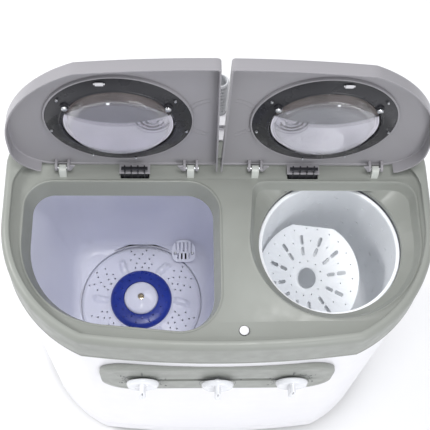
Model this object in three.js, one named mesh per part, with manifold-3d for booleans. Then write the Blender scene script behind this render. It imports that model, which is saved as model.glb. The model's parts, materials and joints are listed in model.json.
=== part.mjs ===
// Compact twin-tub top-loading washing machine, in millimetres, +Z up.
//
// A wash tub with a pulsator stands on the left and a spin basket on the right, under one moulded
// top frame with two hinged lids. The two lids are shown open. Everything is modelled from the top
// of the rim (z = 0) and from the lid hinge line (y = 0 is 4 mm in front of the pins); one group
// then sets the machine on the floor with its origin at the middle of its footprint.

import * as THREE from 'three';
import { mergeVertices } from 'three/addons/utils/BufferGeometryUtils.js';
import Module from 'manifold-3d';

const wasm = await Module();
wasm.setup();

// ---------------------------------------------------------------- driving dimensions
const RIM_HEIGHT = 562;          // floor to the top of the rim
const FOOTPRINT_SHIFT = 88.75;   // moves the hinge line back so that the origin is mid-depth
const GAP = 0.3;                 // between pieces that touch

// plan of the inner edge of the rim: flat back, round ends, bowed front with a facet at each side
const HALF_WIDTH = 281;
const SIDE_RADIUS = 175;
const SIDE_CENTRE_Y = -72;
const FRONT_Y = -242;
const FRONT_RADIUS = 1450;
const RECESS_BACK_Y = 19;
const SHELL_BACK_Y = 72;

const RIM_BAND = 14;             // from the inner edge of the rim to the outside of the skirt
const SKIRT_DEPTH = 62;
const DECK_Z = -12;
const WALL = 3;

const OPEN_ANGLE = THREE.MathUtils.degToRad(92.5);
const PIVOT = { y: 4, z: -2 };
const LID_GAP = { hinge: 2, front: 6 };

const PORTHOLE = { x: 132, y: -109, outer: 95, inner: 72 };

const PULSATOR = { x: -118, y: -71, r: 99.5 };
const TUB_FLOOR_Z = -350;
const SPIN = { x: 154, y: -97 };
const OPENING_R = 99;
const BASKET_R = 97;             // outside of the basket wall
const BASKET_TOP_Z = -44;
const BASKET_FLOOR_Z = -275;
const PULLEY_Z = -474;           // middle of the wash drive belt
const DRIVEN_PULLEY_R = 62;
const MOTOR_PULLEY_R = 15.5;

const HOSE = { r: 12, y: 88, startX: -168, lowZ: -480, bend: 100, topZ: 92 };

// ---------------------------------------------------------------- materials
const material = (color, roughness, metalness = 0, extra = {}) =>
  new THREE.MeshStandardMaterial({ color, roughness, metalness, ...extra });
const MAT = {
  frame: material(0xb4b7b1, 0.5),
  cabinet: material(0xe6e5ea, 0.35),
  tub: material(0xdfe1ea, 0.35),
  lid: material(0x8f8c91, 0.25, 0, { transparent: true, opacity: 0.75 }),
  bezel: material(0x3c3d41, 0.35),
  clear: material(0xdde3e6, 0.05, 0, { transparent: true, opacity: 0.3 }),
  blue: material(0x23348c, 0.4),
  dark: material(0x2b2c2f, 0.6),
  rubber: material(0x242424, 0.8),
  steel: material(0xb9bcc0, 0.3, 1),
  motor: material(0x6d7277, 0.45, 0.8),
  hose: material(0xd4d6d8, 0.5),
  knob: material(0xd9dadf, 0.3),
};

// ---------------------------------------------------------------- solids and meshes
function toSolid(geometry) {
  const bare = geometry.clone();
  bare.deleteAttribute('normal');
  bare.deleteAttribute('uv');
  const merged = mergeVertices(bare, 1e-4);
  return new wasm.Manifold(new wasm.Mesh({
    numProp: 3,
    vertProperties: new Float32Array(merged.attributes.position.array),
    triVerts: new Uint32Array(merged.index.array),
  }));
}

function toGeometry(solid) {
  const result = solid.getMesh();
  const geometry = new THREE.BufferGeometry();
  geometry.setAttribute('position', new THREE.BufferAttribute(result.vertProperties, 3));
  geometry.setIndex(new THREE.BufferAttribute(result.triVerts, 1));
  geometry.computeVertexNormals();
  return geometry;
}

const join = (...solids) => solids.reduce((a, b) => a.add(b));
const cut = (solid, ...tools) => tools.reduce((a, b) => a.subtract(b), solid);

function named(name, solid, mat, parent) {
  const mesh = new THREE.Mesh(toGeometry(solid), mat);
  mesh.name = name;
  parent.add(mesh);
  return mesh;
}

// a box given by its lowest and highest corners
function box(x0, y0, z0, x1, y1, z1) {
  const geometry = new THREE.BoxGeometry(x1 - x0, y1 - y0, z1 - z0);
  geometry.translate((x0 + x1) / 2, (y0 + y1) / 2, (z0 + z1) / 2);
  return toSolid(geometry);
}

// an upright cylinder, or a cone when topRadius is given
function cylinder(x, y, z0, z1, radius, segments = 12, topRadius = radius) {
  const geometry = new THREE.CylinderGeometry(topRadius, radius, z1 - z0, segments);
  geometry.rotateX(Math.PI / 2);
  geometry.translate(x, y, (z0 + z1) / 2);
  return toSolid(geometry);
}

function cylinderX(x0, x1, y, z, radius, segments = 12) {
  const geometry = new THREE.CylinderGeometry(radius, radius, x1 - x0, segments);
  geometry.rotateZ(Math.PI / 2);
  geometry.translate((x0 + x1) / 2, y, z);
  return toSolid(geometry);
}

function cylinderY(x, y0, y1, z, radius, segments = 12, endRadius = radius) {
  const geometry = new THREE.CylinderGeometry(endRadius, radius, y1 - y0, segments);
  geometry.translate(x, (y0 + y1) / 2, z);
  return toSolid(geometry);
}

// a turned solid about an upright axis; profile is [radius, z] pairs that start and end on the axis
// or close on themselves
function turned(x, y, profile, segments = 20) {
  const points = profile.map(([r, z]) => new THREE.Vector2(r, z));
  const geometry = new THREE.LatheGeometry(points, segments);
  geometry.rotateX(Math.PI / 2);
  geometry.translate(x, y, 0);
  const solid = toSolid(geometry);
  return solid.volume() < 0 ? toSolid(flipped(geometry)) : solid;
}

function flipped(geometry) {
  const index = geometry.index.array;
  for (let i = 0; i < index.length; i += 3) [index[i], index[i + 1]] = [index[i + 1], index[i]];
  return geometry;
}

// a prism from a plan outline of Vector2 points
function prism(outline, z0, z1) {
  return loft([{ outline, z: z0 }, { outline, z: z1 }]);
}

// a closed body through outlines of equal point count, from the lowest z to the highest
function loft(levels) {
  const count = levels[0].outline.length;
  const positions = [];
  const index = [];
  for (const { outline, z } of levels) {
    for (const p of outline) positions.push(p.x, p.y, z);
  }
  for (let level = 0; level < levels.length - 1; level += 1) {
    for (let i = 0; i < count; i += 1) {
      const a = level * count + i;
      const b = level * count + (i + 1) % count;
      index.push(a, b, b + count, a, b + count, a + count);
    }
  }
  const top = (levels.length - 1) * count;
  for (const [a, b, c] of THREE.ShapeUtils.triangulateShape(levels[0].outline, [])) {
    index.push(c, b, a);
  }
  for (const [a, b, c] of THREE.ShapeUtils.triangulateShape(levels.at(-1).outline, [])) {
    index.push(top + a, top + b, top + c);
  }
  const geometry = new THREE.BufferGeometry();
  geometry.setAttribute('position', new THREE.Float32BufferAttribute(positions, 3));
  geometry.setIndex(index);
  return toSolid(geometry);
}

// ---------------------------------------------------------------- outlines
const vec = (x, y) => new THREE.Vector2(x, y);

function arc(cx, cy, radius, from, to, steps) {
  const points = [];
  for (let i = 0; i <= steps; i += 1) {
    const angle = THREE.MathUtils.degToRad(from + (to - from) * i / steps);
    points.push(vec(cx + radius * Math.cos(angle), cy + radius * Math.sin(angle)));
  }
  return points;
}

// The machine's plan, offset outwards from the inner edge of the rim. The side arcs meet the
// bowed front in a facet corner.
function planOutline(offset, backY, backRadius = 45 + offset) {
  const sideX = HALF_WIDTH - SIDE_RADIUS;
  const side = SIDE_RADIUS + offset;
  const front = FRONT_RADIUS + offset;
  const frontCentreY = FRONT_Y + FRONT_RADIUS;
  const rise = frontCentreY - SIDE_CENTRE_Y;
  const apart = Math.hypot(sideX, rise);
  const cosine = (apart ** 2 + side ** 2 - front ** 2) / (2 * apart * side);
  const facetAngle = THREE.MathUtils.radToDeg(Math.atan2(rise, -sideX) - Math.acos(cosine));
  const facet = arc(sideX, SIDE_CENTRE_Y, side, facetAngle, facetAngle, 1)[0];
  const half = THREE.MathUtils.radToDeg(Math.asin(facet.x / front));
  const cornerX = HALF_WIDTH + offset - backRadius;
  const cornerY = backY - backRadius;
  return [
    ...arc(cornerX, cornerY, backRadius, 0, 90, 5),
    ...arc(-cornerX, cornerY, backRadius, 90, 180, 5),
    ...arc(-sideX, SIDE_CENTRE_Y, side, 180, 180 - facetAngle, 8),
    ...arc(0, frontCentreY, front, 270 - half, 270 + half, 8).slice(1, -1),
    ...arc(sideX, SIDE_CENTRE_Y, side, facetAngle, 0, 8),
  ];
}

// a polygon with a fillet at each corner; corners are [x, y, radius], counter-clockwise
function filleted(corners, steps = 5) {
  const points = [];
  corners.forEach(([x, y, radius], i) => {
    const [px, py] = corners[(i + corners.length - 1) % corners.length];
    const [nx, ny] = corners[(i + 1) % corners.length];
    const corner = vec(x, y);
    const before = vec(px, py).sub(corner).normalize();
    const after = vec(nx, ny).sub(corner).normalize();
    const halfAngle = Math.acos(THREE.MathUtils.clamp(before.dot(after), -1, 1)) / 2;
    const centre = before.clone().add(after).normalize()
      .multiplyScalar(radius / Math.sin(halfAngle)).add(corner);
    const reach = radius / Math.tan(halfAngle);
    const start = before.multiplyScalar(reach).add(corner).sub(centre);
    const end = after.multiplyScalar(reach).add(corner).sub(centre);
    const from = Math.atan2(start.y, start.x);
    let turn = Math.atan2(end.y, end.x) - from;
    while (turn > Math.PI) turn -= 2 * Math.PI;
    while (turn < -Math.PI) turn += 2 * Math.PI;
    for (let k = 0; k <= steps; k += 1) {
      const angle = from + turn * k / steps;
      points.push(vec(centre.x + radius * Math.cos(angle), centre.y + radius * Math.sin(angle)));
    }
  });
  return points;
}

// the same outline resampled at equal angles about a centre, so that unlike outlines can be lofted
function resampled(outline, cx, cy, count) {
  const points = [];
  for (let i = 0; i < count; i += 1) {
    const angle = 2 * Math.PI * i / count;
    const ux = Math.cos(angle);
    const uy = Math.sin(angle);
    let best = 0;
    outline.forEach((a, k) => {
      const b = outline[(k + 1) % outline.length];
      const ex = b.x - a.x;
      const ey = b.y - a.y;
      const det = ex * uy - ey * ux;
      if (Math.abs(det) < 1e-9) return;
      const along = (ux * (a.y - cy) - uy * (a.x - cx)) / det;
      const reach = (ex * (a.y - cy) - ey * (a.x - cx)) / det;
      if (along >= -1e-9 && along <= 1 + 1e-9 && reach > best) best = reach;
    });
    points.push(vec(cx + best * ux, cy + best * uy));
  }
  return points;
}

const circle = (cx, cy, radius, count) =>
  Array.from({ length: count }, (_, i) => {
    const angle = 2 * Math.PI * i / count;
    return vec(cx + radius * Math.cos(angle), cy + radius * Math.sin(angle));
  });

// The wash opening at its foot, grown by "grow": straight back and right, a long round corner at
// the front left that follows the end of the machine.
const washOpening = (grow) => filleted([
  [-257 - grow, -198 - grow, 112 + grow],
  [-7 + grow, -224 - grow, 46 + grow],
  [-7 + grow, -20 + grow, 38 + grow],
  [-257 - grow, -20 + grow, 30 + grow],
]);

// The recess around the spin opening: round at the left and front, square across the back.
const spinRecess = (grow) => [
  ...arc(SPIN.x, SPIN.y, 112 + grow, 180, 270, 8),
  ...arc(SPIN.x + 4, SPIN.y + 4, 116 + grow, 272, 360, 8),
  ...arc(250 + grow / 2, -36 + grow / 2, 24 + grow / 2, 0, 90, 5),
  ...arc(64 - grow / 2, -29 + grow / 2, 17 + grow / 2, 90, 172, 4),
];

// ---------------------------------------------------------------- placing
const machine = new THREE.Group();
machine.position.set(0, FOOTPRINT_SHIFT, RIM_HEIGHT);
const group = new THREE.Group();
group.add(machine);

const POSTS = { wash: [-214.5, -39], spin: [50.5, 218.5] };
const POST_HALF = 5;
const TONGUE = { wash: [-134, -98], spin: [98, 137] };
const TONGUE_REACH = 28;         // how far behind the hinge line a tongue ends, lid closed
const LINK = { x: 117, y: 17 };
const KNOBS = [
  ['wash_timer_knob', -105],
  ['drain_selector_knob', 0],
  ['spin_timer_knob', 105],
];
const KNOB_Z = -150;
const DRAIN = { x: -47, y: 12 };
const GLAND = { x: 190, z: -310 };
const WASH_MOTOR = { x: -18, y: -141 };

// y of the bowed front at x, offset outwards from the inner edge of the rim
const frontY = (x, offset) =>
  FRONT_Y + FRONT_RADIUS - Math.sqrt((FRONT_RADIUS + offset) ** 2 - x ** 2);

// ---------------------------------------------------------------- top frame
const skirtOutline = (offset) => planOutline(offset, SHELL_BACK_Y + offset - RIM_BAND, 58);
const recessOutline = (offset) => planOutline(offset, RECESS_BACK_Y + offset);

function topFrame() {
  const outside = loft([
    { outline: skirtOutline(RIM_BAND), z: -SKIRT_DEPTH },
    { outline: skirtOutline(RIM_BAND - 2), z: -8 },
    { outline: skirtOutline(RIM_BAND - 4), z: -2.5 },
    { outline: skirtOutline(RIM_BAND - 8), z: 0 },
  ]);
  const recess = loft([
    { outline: recessOutline(-1), z: DECK_Z },
    { outline: recessOutline(0), z: 1 },
  ]);
  const below = prism(skirtOutline(RIM_BAND - 3), -SKIRT_DEPTH - 1, DECK_Z - WALL);
  const rimHollow = cut(
    prism(skirtOutline(RIM_BAND - 6.5), DECK_Z - WALL - 1, -3),
    prism(recessOutline(3), DECK_Z - WALL - 2, 0),
  );
  const washCollar = loft([
    { outline: washOpening(WALL), z: -40 },
    { outline: washOpening(8 + WALL), z: DECK_Z - 1 },
  ]);
  const washHole = loft([
    { outline: washOpening(-0.2), z: -40.5 },
    { outline: washOpening(8), z: DECK_Z },
    { outline: washOpening(8.2), z: DECK_Z + 1 },
  ]);
  const steps = 40;
  const recessRing = (grow) => resampled(spinRecess(grow), SPIN.x, SPIN.y, steps);
  const ring = (radius) => circle(SPIN.x, SPIN.y, radius, steps);
  const funnel = loft([
    { outline: ring(OPENING_R + WALL), z: -41 },
    { outline: ring(OPENING_R + WALL), z: -37 },
    { outline: recessRing(-2), z: -30 },
    { outline: recessRing(WALL), z: DECK_Z - 1 },
  ]);
  const spinHole = loft([
    { outline: ring(OPENING_R), z: -42 },
    { outline: ring(OPENING_R), z: -34 },
    { outline: recessRing(-5), z: -27 },
    { outline: recessRing(0), z: DECK_Z },
    { outline: recessRing(0.2), z: DECK_Z + 1 },
  ]);
  let frame = cut(outside, recess, below, rimHollow);
  frame = join(frame, washCollar, funnel);
  for (const [x0, x1] of Object.values(TONGUE)) {
    frame = frame.add(box(x0 - 4.5, -9.5, -39, x1 + 4.5, 20, DECK_Z - 0.5));
    frame = frame.add(box(x0 - 4.5, 19.5, -39, x1 + 4.5, 33.5, -1));
  }
  frame = cut(frame, washHole, spinHole);
  for (const [x0, x1] of Object.values(TONGUE)) {
    frame = frame.subtract(box(x0 - 2, -7, -36, x1 + 2, 31, 1));
  }
  frame = frame.subtract(box(LINK.x - 4, LINK.y - 4, -40, LINK.x + 4, LINK.y + 4, -35));
  for (const x of [...POSTS.wash, ...POSTS.spin]) {
    const post = box(x - POST_HALF, -4, DECK_Z - 1, x + POST_HALF, 8, 4);
    const bore = cylinderX(x - 20, x + 20, PIVOT.y, PIVOT.z, 2.8);
    frame = frame.add(post).subtract(bore);
  }
  const plugHole = cylinder(30, -226, DECK_Z - 5, DECK_Z + 1, 4.3, 12);
  const hookSlot = box(-9, 60, -4, 9, 66, 1);
  return cut(frame, plugHole, hookSlot);
}
named('top_frame', topFrame(), MAT.frame, machine);

const plug = join(
  cylinder(30, -226, DECK_Z - 5, DECK_Z + GAP, 4, 12),
  cylinder(30, -226, DECK_Z + GAP, DECK_Z + 2, 6.2, 24, 5.6),
);
named('deck_plug', plug, MAT.cabinet, machine);

// ---------------------------------------------------------------- cabinet, base and feet
const CABINET_TOP = -30;
const CABINET_BOTTOM = -540;

function cabinetShell() {
  const shell = cut(
    prism(skirtOutline(10), CABINET_BOTTOM, CABINET_TOP),
    prism(skirtOutline(7.5), CABINET_BOTTOM - 1, CABINET_TOP + 1),
    box(-230, 55, -520, 230, 80, -80),
  );
  const shaftHoles = KNOBS.map(([, x]) => cylinderY(x, -270, -230, KNOB_Z, 6, 16));
  return cut(shell, ...shaftHoles);
}
named('cabinet_shell', cabinetShell(), MAT.cabinet, machine);

function rearCover() {
  const back = SHELL_BACK_Y + 10 - RIM_BAND + GAP;
  let cover = box(-240, back, -530, 240, back + WALL, -66);
  for (let row = 0; row < 9; row += 1) {
    for (const x of [60, 150]) {
      const z = -400 - row * 12;
      cover = cover.subtract(box(x, back - 1, z, x + 70, back + WALL + 1, z + 5));
    }
  }
  const elbowHole = cylinderY(HOSE.startX, back - 1, back + 5, HOSE.lowZ, 14, 14);
  const glandHole = cylinderY(GLAND.x, back - 1, back + 5, GLAND.z, 8, 12);
  return cut(cover, elbowHole, glandHole);
}
named('rear_cover', rearCover(), MAT.cabinet, machine);

function baseTray() {
  const outer = prism(skirtOutline(7), -546, -520);
  const inner = prism(skirtOutline(4.5), -543, -519);
  return cut(outer, inner);
}
named('base_tray', baseTray(), MAT.dark, machine);

const FEET = {
  foot_front_left: [-222, -186],
  foot_front_right: [222, -186],
  foot_rear_left: [-222, 30],
  foot_rear_right: [222, 30],
};
for (const [name, [x, y]] of Object.entries(FEET)) {
  const foot = cylinder(x, y, -RIM_HEIGHT, -546 - GAP, 15, 24, 19);
  named(name, foot, MAT.rubber, machine);
}

// ---------------------------------------------------------------- control panel and knobs
const PANEL_OFFSET = 18;
const PANEL_HALF = 165;

function controlPanel() {
  const outline = filleted([
    [-PANEL_HALF, -206, 34],
    [PANEL_HALF, -206, 34],
    [PANEL_HALF, -92, 44],
    [-PANEL_HALF, -92, 44],
  ]);
  const slab = prism(outline, 180, 300).rotate([90, 0, 0]);
  const layer = cut(
    prism(skirtOutline(PANEL_OFFSET), -240, -70),
    prism(skirtOutline(10 + GAP), -241, -69),
  );
  const holes = KNOBS.map(([, x]) => cylinderY(x, -280, -240, KNOB_Z, 6, 16));
  return cut(slab.intersect(layer), ...holes);
}
named('control_panel', controlPanel(), MAT.frame, machine);

for (const [name, x] of KNOBS) {
  const seat = frontY(Math.max(0, Math.abs(x) - 23), PANEL_OFFSET) - 1;
  const skirt = cylinderY(x, seat - 7, seat, KNOB_Z, 21, 28, 23);
  const grip = box(x - 4.5, seat - 20, KNOB_Z - 19, x + 4.5, seat - 6, KNOB_Z + 19);
  const shaft = cylinderY(x, seat - 7, -242, KNOB_Z, 4, 12);
  named(name, join(skirt, grip, shaft), MAT.knob, machine);
}
for (const [name, x] of [['wash_timer', -105], ['drain_selector_switch', 0], ['spin_timer', 105]]) {
  const body = cut(
    box(x - 24, -241, KNOB_Z - 24, x + 24, -219, KNOB_Z + 24),
    cylinderY(x, -250, -238, KNOB_Z, 4.4, 12),
  );
  named(name, body, MAT.tub, machine);
}

// ---------------------------------------------------------------- wash tub
const TUB = {
  top: { x0: -269, x1: 34, front: -235, back: 34 },
  foot: { x0: -231, x1: 0, front: -180, back: 33 },
};

// tub plan at a share of the way down from the top; "grow" offsets it outwards
function tubOutline(share, grow, tuck = 0) {
  const mix = (key) => THREE.MathUtils.lerp(TUB.top[key], TUB.foot[key], share);
  const g = grow - tuck;
  return filleted([
    [mix('x0') - g, mix('front') + 16 * (1 - share) - g, 112 - 40 * share + g],
    [mix('x1') + g, mix('front') - g, 48 + g],
    [mix('x1') + g, mix('back') + g, 40 + g],
    [mix('x0') - g, mix('back') + g, 40 + g],
  ]);
}

const TUB_TOP_Z = DECK_Z - WALL - GAP;

function washTub() {
  const body = (grow, topZ, floorZ) => loft([
    { outline: tubOutline(1, grow, 22), z: floorZ },
    { outline: tubOutline(1, grow, 7), z: floorZ + 7 },
    { outline: tubOutline(0.95, grow), z: floorZ + 22 },
    { outline: tubOutline(0, grow), z: topZ },
  ]);
  const outer = body(WALL, TUB_TOP_Z, TUB_FLOOR_Z - WALL);
  const inner = body(0, TUB_TOP_Z, TUB_FLOOR_Z);
  const mouth = prism(tubOutline(0, -0.1), TUB_TOP_Z - 0.5, TUB_TOP_Z + 2);
  const well = cylinder(PULSATOR.x, PULSATOR.y, TUB_FLOOR_Z - 8, TUB_FLOOR_Z + 20, 101.5, 32);
  const wellOuter = cylinder(PULSATOR.x, PULSATOR.y, TUB_FLOOR_Z - 11, TUB_FLOOR_Z + 20, 104, 32);
  const shaftHole = cylinder(PULSATOR.x, PULSATOR.y, TUB_FLOOR_Z - 20, TUB_FLOOR_Z, 12, 14);
  const drainHole = cylinder(DRAIN.x, DRAIN.y, TUB_FLOOR_Z - 9, TUB_FLOOR_Z + 14, 9, 12);
  return cut(outer.add(wellOuter), inner, mouth, well, shaftHole, drainHole);
}
named('wash_tub', washTub(), MAT.tub, machine);

function drainGrille() {
  const outline = filleted([[-20, -19, 12], [20, -19, 12], [20, 19, 18], [-20, 19, 18]], 5);
  let plate = prism(outline, 0, 4);
  for (const [y, length, count] of [[7, 16, 5], [-9, 10, 4]]) {
    for (let i = 0; i < count; i += 1) {
      const x = (i - (count - 1) / 2) * 6.5;
      plate = plate.subtract(box(x - 1.4, y - length / 2, -1, x + 1.4, y + length / 2, 5));
    }
  }
  return plate;
}
const grille = named('drain_grille', drainGrille(), MAT.tub, machine);
grille.position.set(DRAIN.x, DRAIN.y + 3, TUB_FLOOR_Z + 15);
grille.rotation.set(THREE.MathUtils.degToRad(24), 0, 0);

// ---------------------------------------------------------------- pulsator and wash drive
const P = PULSATOR;
const pulsator = cut(
  join(
    turned(P.x, P.y, [
      [0, -356], [98, -356], [PULSATOR.r, -353], [96, -350], [56, -345], [50, -338], [0, -336],
    ], 28),
    ...[0, 60, 120, 180, 240, 300].map((angle) =>
      box(24, -3, -350, 80, 3, -339).rotate([0, 0, angle]).translate(P.x, P.y, 0)),
  ),
  cylinder(P.x, P.y, -360, -333, 6.3, 14),
  cut(cylinder(P.x, P.y, -341, -330, 51.3, 32), cylinder(P.x, P.y, -342, -330, 28, 40)),
);
named('pulsator', pulsator, MAT.tub, machine);

const blueRing = cut(
  turned(P.x, P.y, [[0, -340.6], [51, -340.6], [50, -334], [44, -331], [0, -330]], 24),
  cylinder(P.x, P.y, -345, -320, 28.4, 32),
);
named('pulsator_ring', blueRing, MAT.blue, machine);

const cap = turned(P.x, P.y, [
  [0, -335.6], [27.9, -335.6], [27.9, -330], [25, -325], [12, -322], [0, -321.5],
], 18);
named('pulsator_cap', cut(cap, cylinder(P.x, P.y, -330, -320, 4.5, 16)), MAT.tub, machine);

named('pulsator_shaft', cylinder(P.x, P.y, -492, -336, 6, 12), MAT.steel, machine);

const housing = cut(
  turned(P.x, P.y, [
    [0, -458], [50, -458], [50, -453], [34, -450], [34, -390], [44, -384], [44, -374], [0, -374],
  ], 14),
  cylinder(P.x, P.y, -470, -360, 6.4, 12),
);
named('shaft_housing', housing, MAT.motor, machine);
const shaftSeal = cut(
  cylinder(P.x, P.y, -373.7, -358, 11.5, 14),
  cylinder(P.x, P.y, -380, -350, 6.4, 12),
);
named('shaft_seal', shaftSeal, MAT.rubber, machine);

function vPulley(x, y, radius, bore) {
  return cut(
    turned(x, y, [
      [0, PULLEY_Z - 8], [radius, PULLEY_Z - 8], [radius, PULLEY_Z - 6], [radius - 5, PULLEY_Z - 2],
      [radius - 5, PULLEY_Z + 2], [radius, PULLEY_Z + 6], [radius, PULLEY_Z + 8], [0, PULLEY_Z + 8],
    ], 18),
    cylinder(x, y, PULLEY_Z - 20, PULLEY_Z + 20, bore, 12),
  );
}
let drivenPulley = vPulley(P.x, P.y, DRIVEN_PULLEY_R, 6.3);
for (let i = 0; i < 5; i += 1) {
  const angle = i * 72;
  const window = cylinder(34, 0, PULLEY_Z - 20, PULLEY_Z + 20, 12, 16)
    .rotate([0, 0, angle]).translate(P.x, P.y, 0);
  drivenPulley = drivenPulley.subtract(window);
}
named('driven_pulley', drivenPulley, MAT.motor, machine);
const motorPulley = join(
  vPulley(WASH_MOTOR.x, WASH_MOTOR.y, MOTOR_PULLEY_R, 4),
  cylinder(WASH_MOTOR.x, WASH_MOTOR.y, -484, -455, 4.2, 12),
);
named('motor_pulley', motorPulley, MAT.steel, machine);

// open belt round both pulleys
function beltOutline(grow) {
  const big = DRIVEN_PULLEY_R - 5 + grow;
  const small = MOTOR_PULLEY_R - 5 + grow;
  const dx = WASH_MOTOR.x - P.x;
  const dy = WASH_MOTOR.y - P.y;
  const heading = THREE.MathUtils.radToDeg(Math.atan2(dy, dx));
  const wrap = THREE.MathUtils.radToDeg(Math.acos((big - small) / Math.hypot(dx, dy)));
  return [
    ...arc(P.x, P.y, big, heading + wrap, heading + 360 - wrap, 14),
    ...arc(WASH_MOTOR.x, WASH_MOTOR.y, small, heading - wrap, heading + wrap, 10),
  ];
}
const belt = cut(
  prism(beltOutline(5.5), PULLEY_Z - 1.7, PULLEY_Z + 1.7),
  prism(beltOutline(2 * GAP), PULLEY_Z - 3, PULLEY_Z + 3),
);
named('drive_belt', belt, MAT.rubber, machine);

const washMotor = cut(
  turned(WASH_MOTOR.x, WASH_MOTOR.y, [
    [0, -458], [36, -458], [50, -450], [50, -385], [36, -376], [0, -376],
  ], 14),
  cylinder(WASH_MOTOR.x, WASH_MOTOR.y, -460, -452, 5, 12),
);
named('wash_motor', washMotor, MAT.motor, machine);

function driveBracket() {
  const plate = box(-176, -205, -462.3, 40, -10, -458.3);
  const legs = [[-170, -199], [34, -199], [-170, -16], [34, -16]].map(([x, y]) =>
    box(x - 6, y - 6, -542.7, x + 6, y + 6, -460));
  return cut(
    join(plate, ...legs),
    cylinder(P.x, P.y, -465, -455, 14, 14),
    cylinder(WASH_MOTOR.x, WASH_MOTOR.y, -465, -455, 10, 12),
  );
}
named('drive_bracket', driveBracket(), MAT.steel, machine);

// ---------------------------------------------------------------- spin side
const S = SPIN;
const outerTub = cut(
  turned(S.x, S.y, [
    [0, -306], [60, -306], [108, -300], [111, -294], [111, -42], [0, -42],
  ], 28),
  turned(S.x, S.y, [[0, -303], [60, -303], [106, -297], [108, -292], [108, -40], [0, -40]], 28),
  cylinder(S.x, S.y, -310, -295, 16, 14),
);
named('spin_outer_tub', outerTub, MAT.tub, machine);

const basket = cut(
  turned(S.x, S.y, [
    [0, -288], [88, -288], [95, -280], [BASKET_R, -272], [BASKET_R, BASKET_TOP_Z], [0, BASKET_TOP_Z],
  ], 28),
  turned(S.x, S.y, [
    [0, -262], [22, -264], [34, BASKET_FLOOR_Z], [86, BASKET_FLOOR_Z], [92, -268],
    [94.5, -262], [94.5, -56], [93.5, -52], [93.5, BASKET_TOP_Z + 1], [0, BASKET_TOP_Z + 1],
  ], 28),
);
named('spin_basket', basket, MAT.tub, machine);

const SHAFT_R = 6;
const spinShaft = join(
  cylinder(S.x, S.y, -424, -288.3, SHAFT_R, 12),
  cylinder(S.x, S.y, -300, -288.3, 12, 14),
);
named('spin_shaft', spinShaft, MAT.steel, machine);
const spinSeal = cut(
  turned(S.x, S.y, [
    [0, -330], [11, -330], [14, -322], [22, -315], [14, -310], [22, -306.3], [0, -306.3],
  ], 14),
  cylinder(S.x, S.y, -335, -300, SHAFT_R + 0.5, 12),
);
named('spin_seal', spinSeal, MAT.rubber, machine);
const drum = cut(
  turned(S.x, S.y, [
    [0, -384], [46, -384], [46, -362], [42, -362], [42, -378], [16, -378], [16, -350], [0, -350],
  ], 28),
  cylinder(S.x, S.y, -390, -340, SHAFT_R + GAP, 12),
);
named('brake_drum', drum, MAT.steel, machine);
const spinMotor = cut(
  turned(S.x, S.y, [
    [0, -506], [44, -506], [58, -496], [58, -420], [44, -404], [0, -404],
  ], 18),
  cylinder(S.x, S.y, -430, -400, 9, 12),
);
named('spin_motor', spinMotor, MAT.motor, machine);
function spinMotorMount() {
  const ring = cut(cylinder(S.x, S.y, -512, -506.3, 62, 32), cylinder(S.x, S.y, -515, -500, 30, 24));
  const pads = [90, 210, 330].map((angle) =>
    cylinder(50, 0, -542.7, -511, 9, 16).rotate([0, 0, angle]).translate(S.x, S.y, 0));
  const arm = box(BRAKE.x - 7, BRAKE.y - 22, -512, BRAKE.x + 30, BRAKE.y + 7, -507);
  const post = cylinder(BRAKE.x, BRAKE.y, -510, -360, 4, 12);
  const step = cylinder(BRAKE.x, BRAKE.y, -400, -378, 7, 12);
  return join(ring, arm, post, step, ...pads);
}
// the brake shoe lever turns on a post beside the drum
const BRAKE = { x: S.x - 46, y: S.y + 62 };
named('spin_motor_mount', spinMotorMount(), MAT.steel, machine);

const brakeLever = cut(
  join(
    box(BRAKE.x - 7, BRAKE.y - 52, -377, BRAKE.x - 1.5, BRAKE.y + 8, -367),
    cylinder(BRAKE.x, BRAKE.y, -377, -367, 9, 12),
    box(BRAKE.x - 40, BRAKE.y - 3, -377, BRAKE.x, BRAKE.y + 3, -367),
  ),
  cylinder(BRAKE.x, BRAKE.y, -380, -360, 4.4, 12),
);
named('brake_lever', brakeLever, MAT.steel, machine);
const brakeLink = join(
  box(TONGUE.spin[0] + 6, -5, -31, TONGUE.spin[1] - 6, 21, -29),
  box(LINK.x - 3, LINK.y - 3, -345, LINK.x + 3, LINK.y + 3, -30),
);
named('brake_link', brakeLink, MAT.dark, machine);

// pressing disc, lying tilted in the basket
const DISC = { r: 84, x: 134.3, y: -106, z: -143, normal: [-0.561, -0.262, 0.785] };
function pressingDisc() {
  let disc = turned(0, 0, [
    [0, -2], [DISC.r - 2, -2], [DISC.r, 0], [DISC.r - 1, 2], [30, 2], [26, 4], [0, 4],
  ], 28);
  disc = disc.subtract(cylinder(0, 0, -5, 8, 16, 24));
  for (let i = 0; i < 12; i += 1) {
    for (const [from, to] of [[34, 52], [56, 74]]) {
      const slot = box(from, -3, -5, to, 3, 5).rotate([0, 0, i * 30]);
      disc = disc.subtract(slot);
    }
  }
  return disc;
}
const disc = named('pressing_disc', pressingDisc(), MAT.tub, machine);
disc.position.set(DISC.x, DISC.y, DISC.z);
disc.quaternion.setFromUnitVectors(new THREE.Vector3(0, 0, 1), new THREE.Vector3(...DISC.normal));

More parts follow.
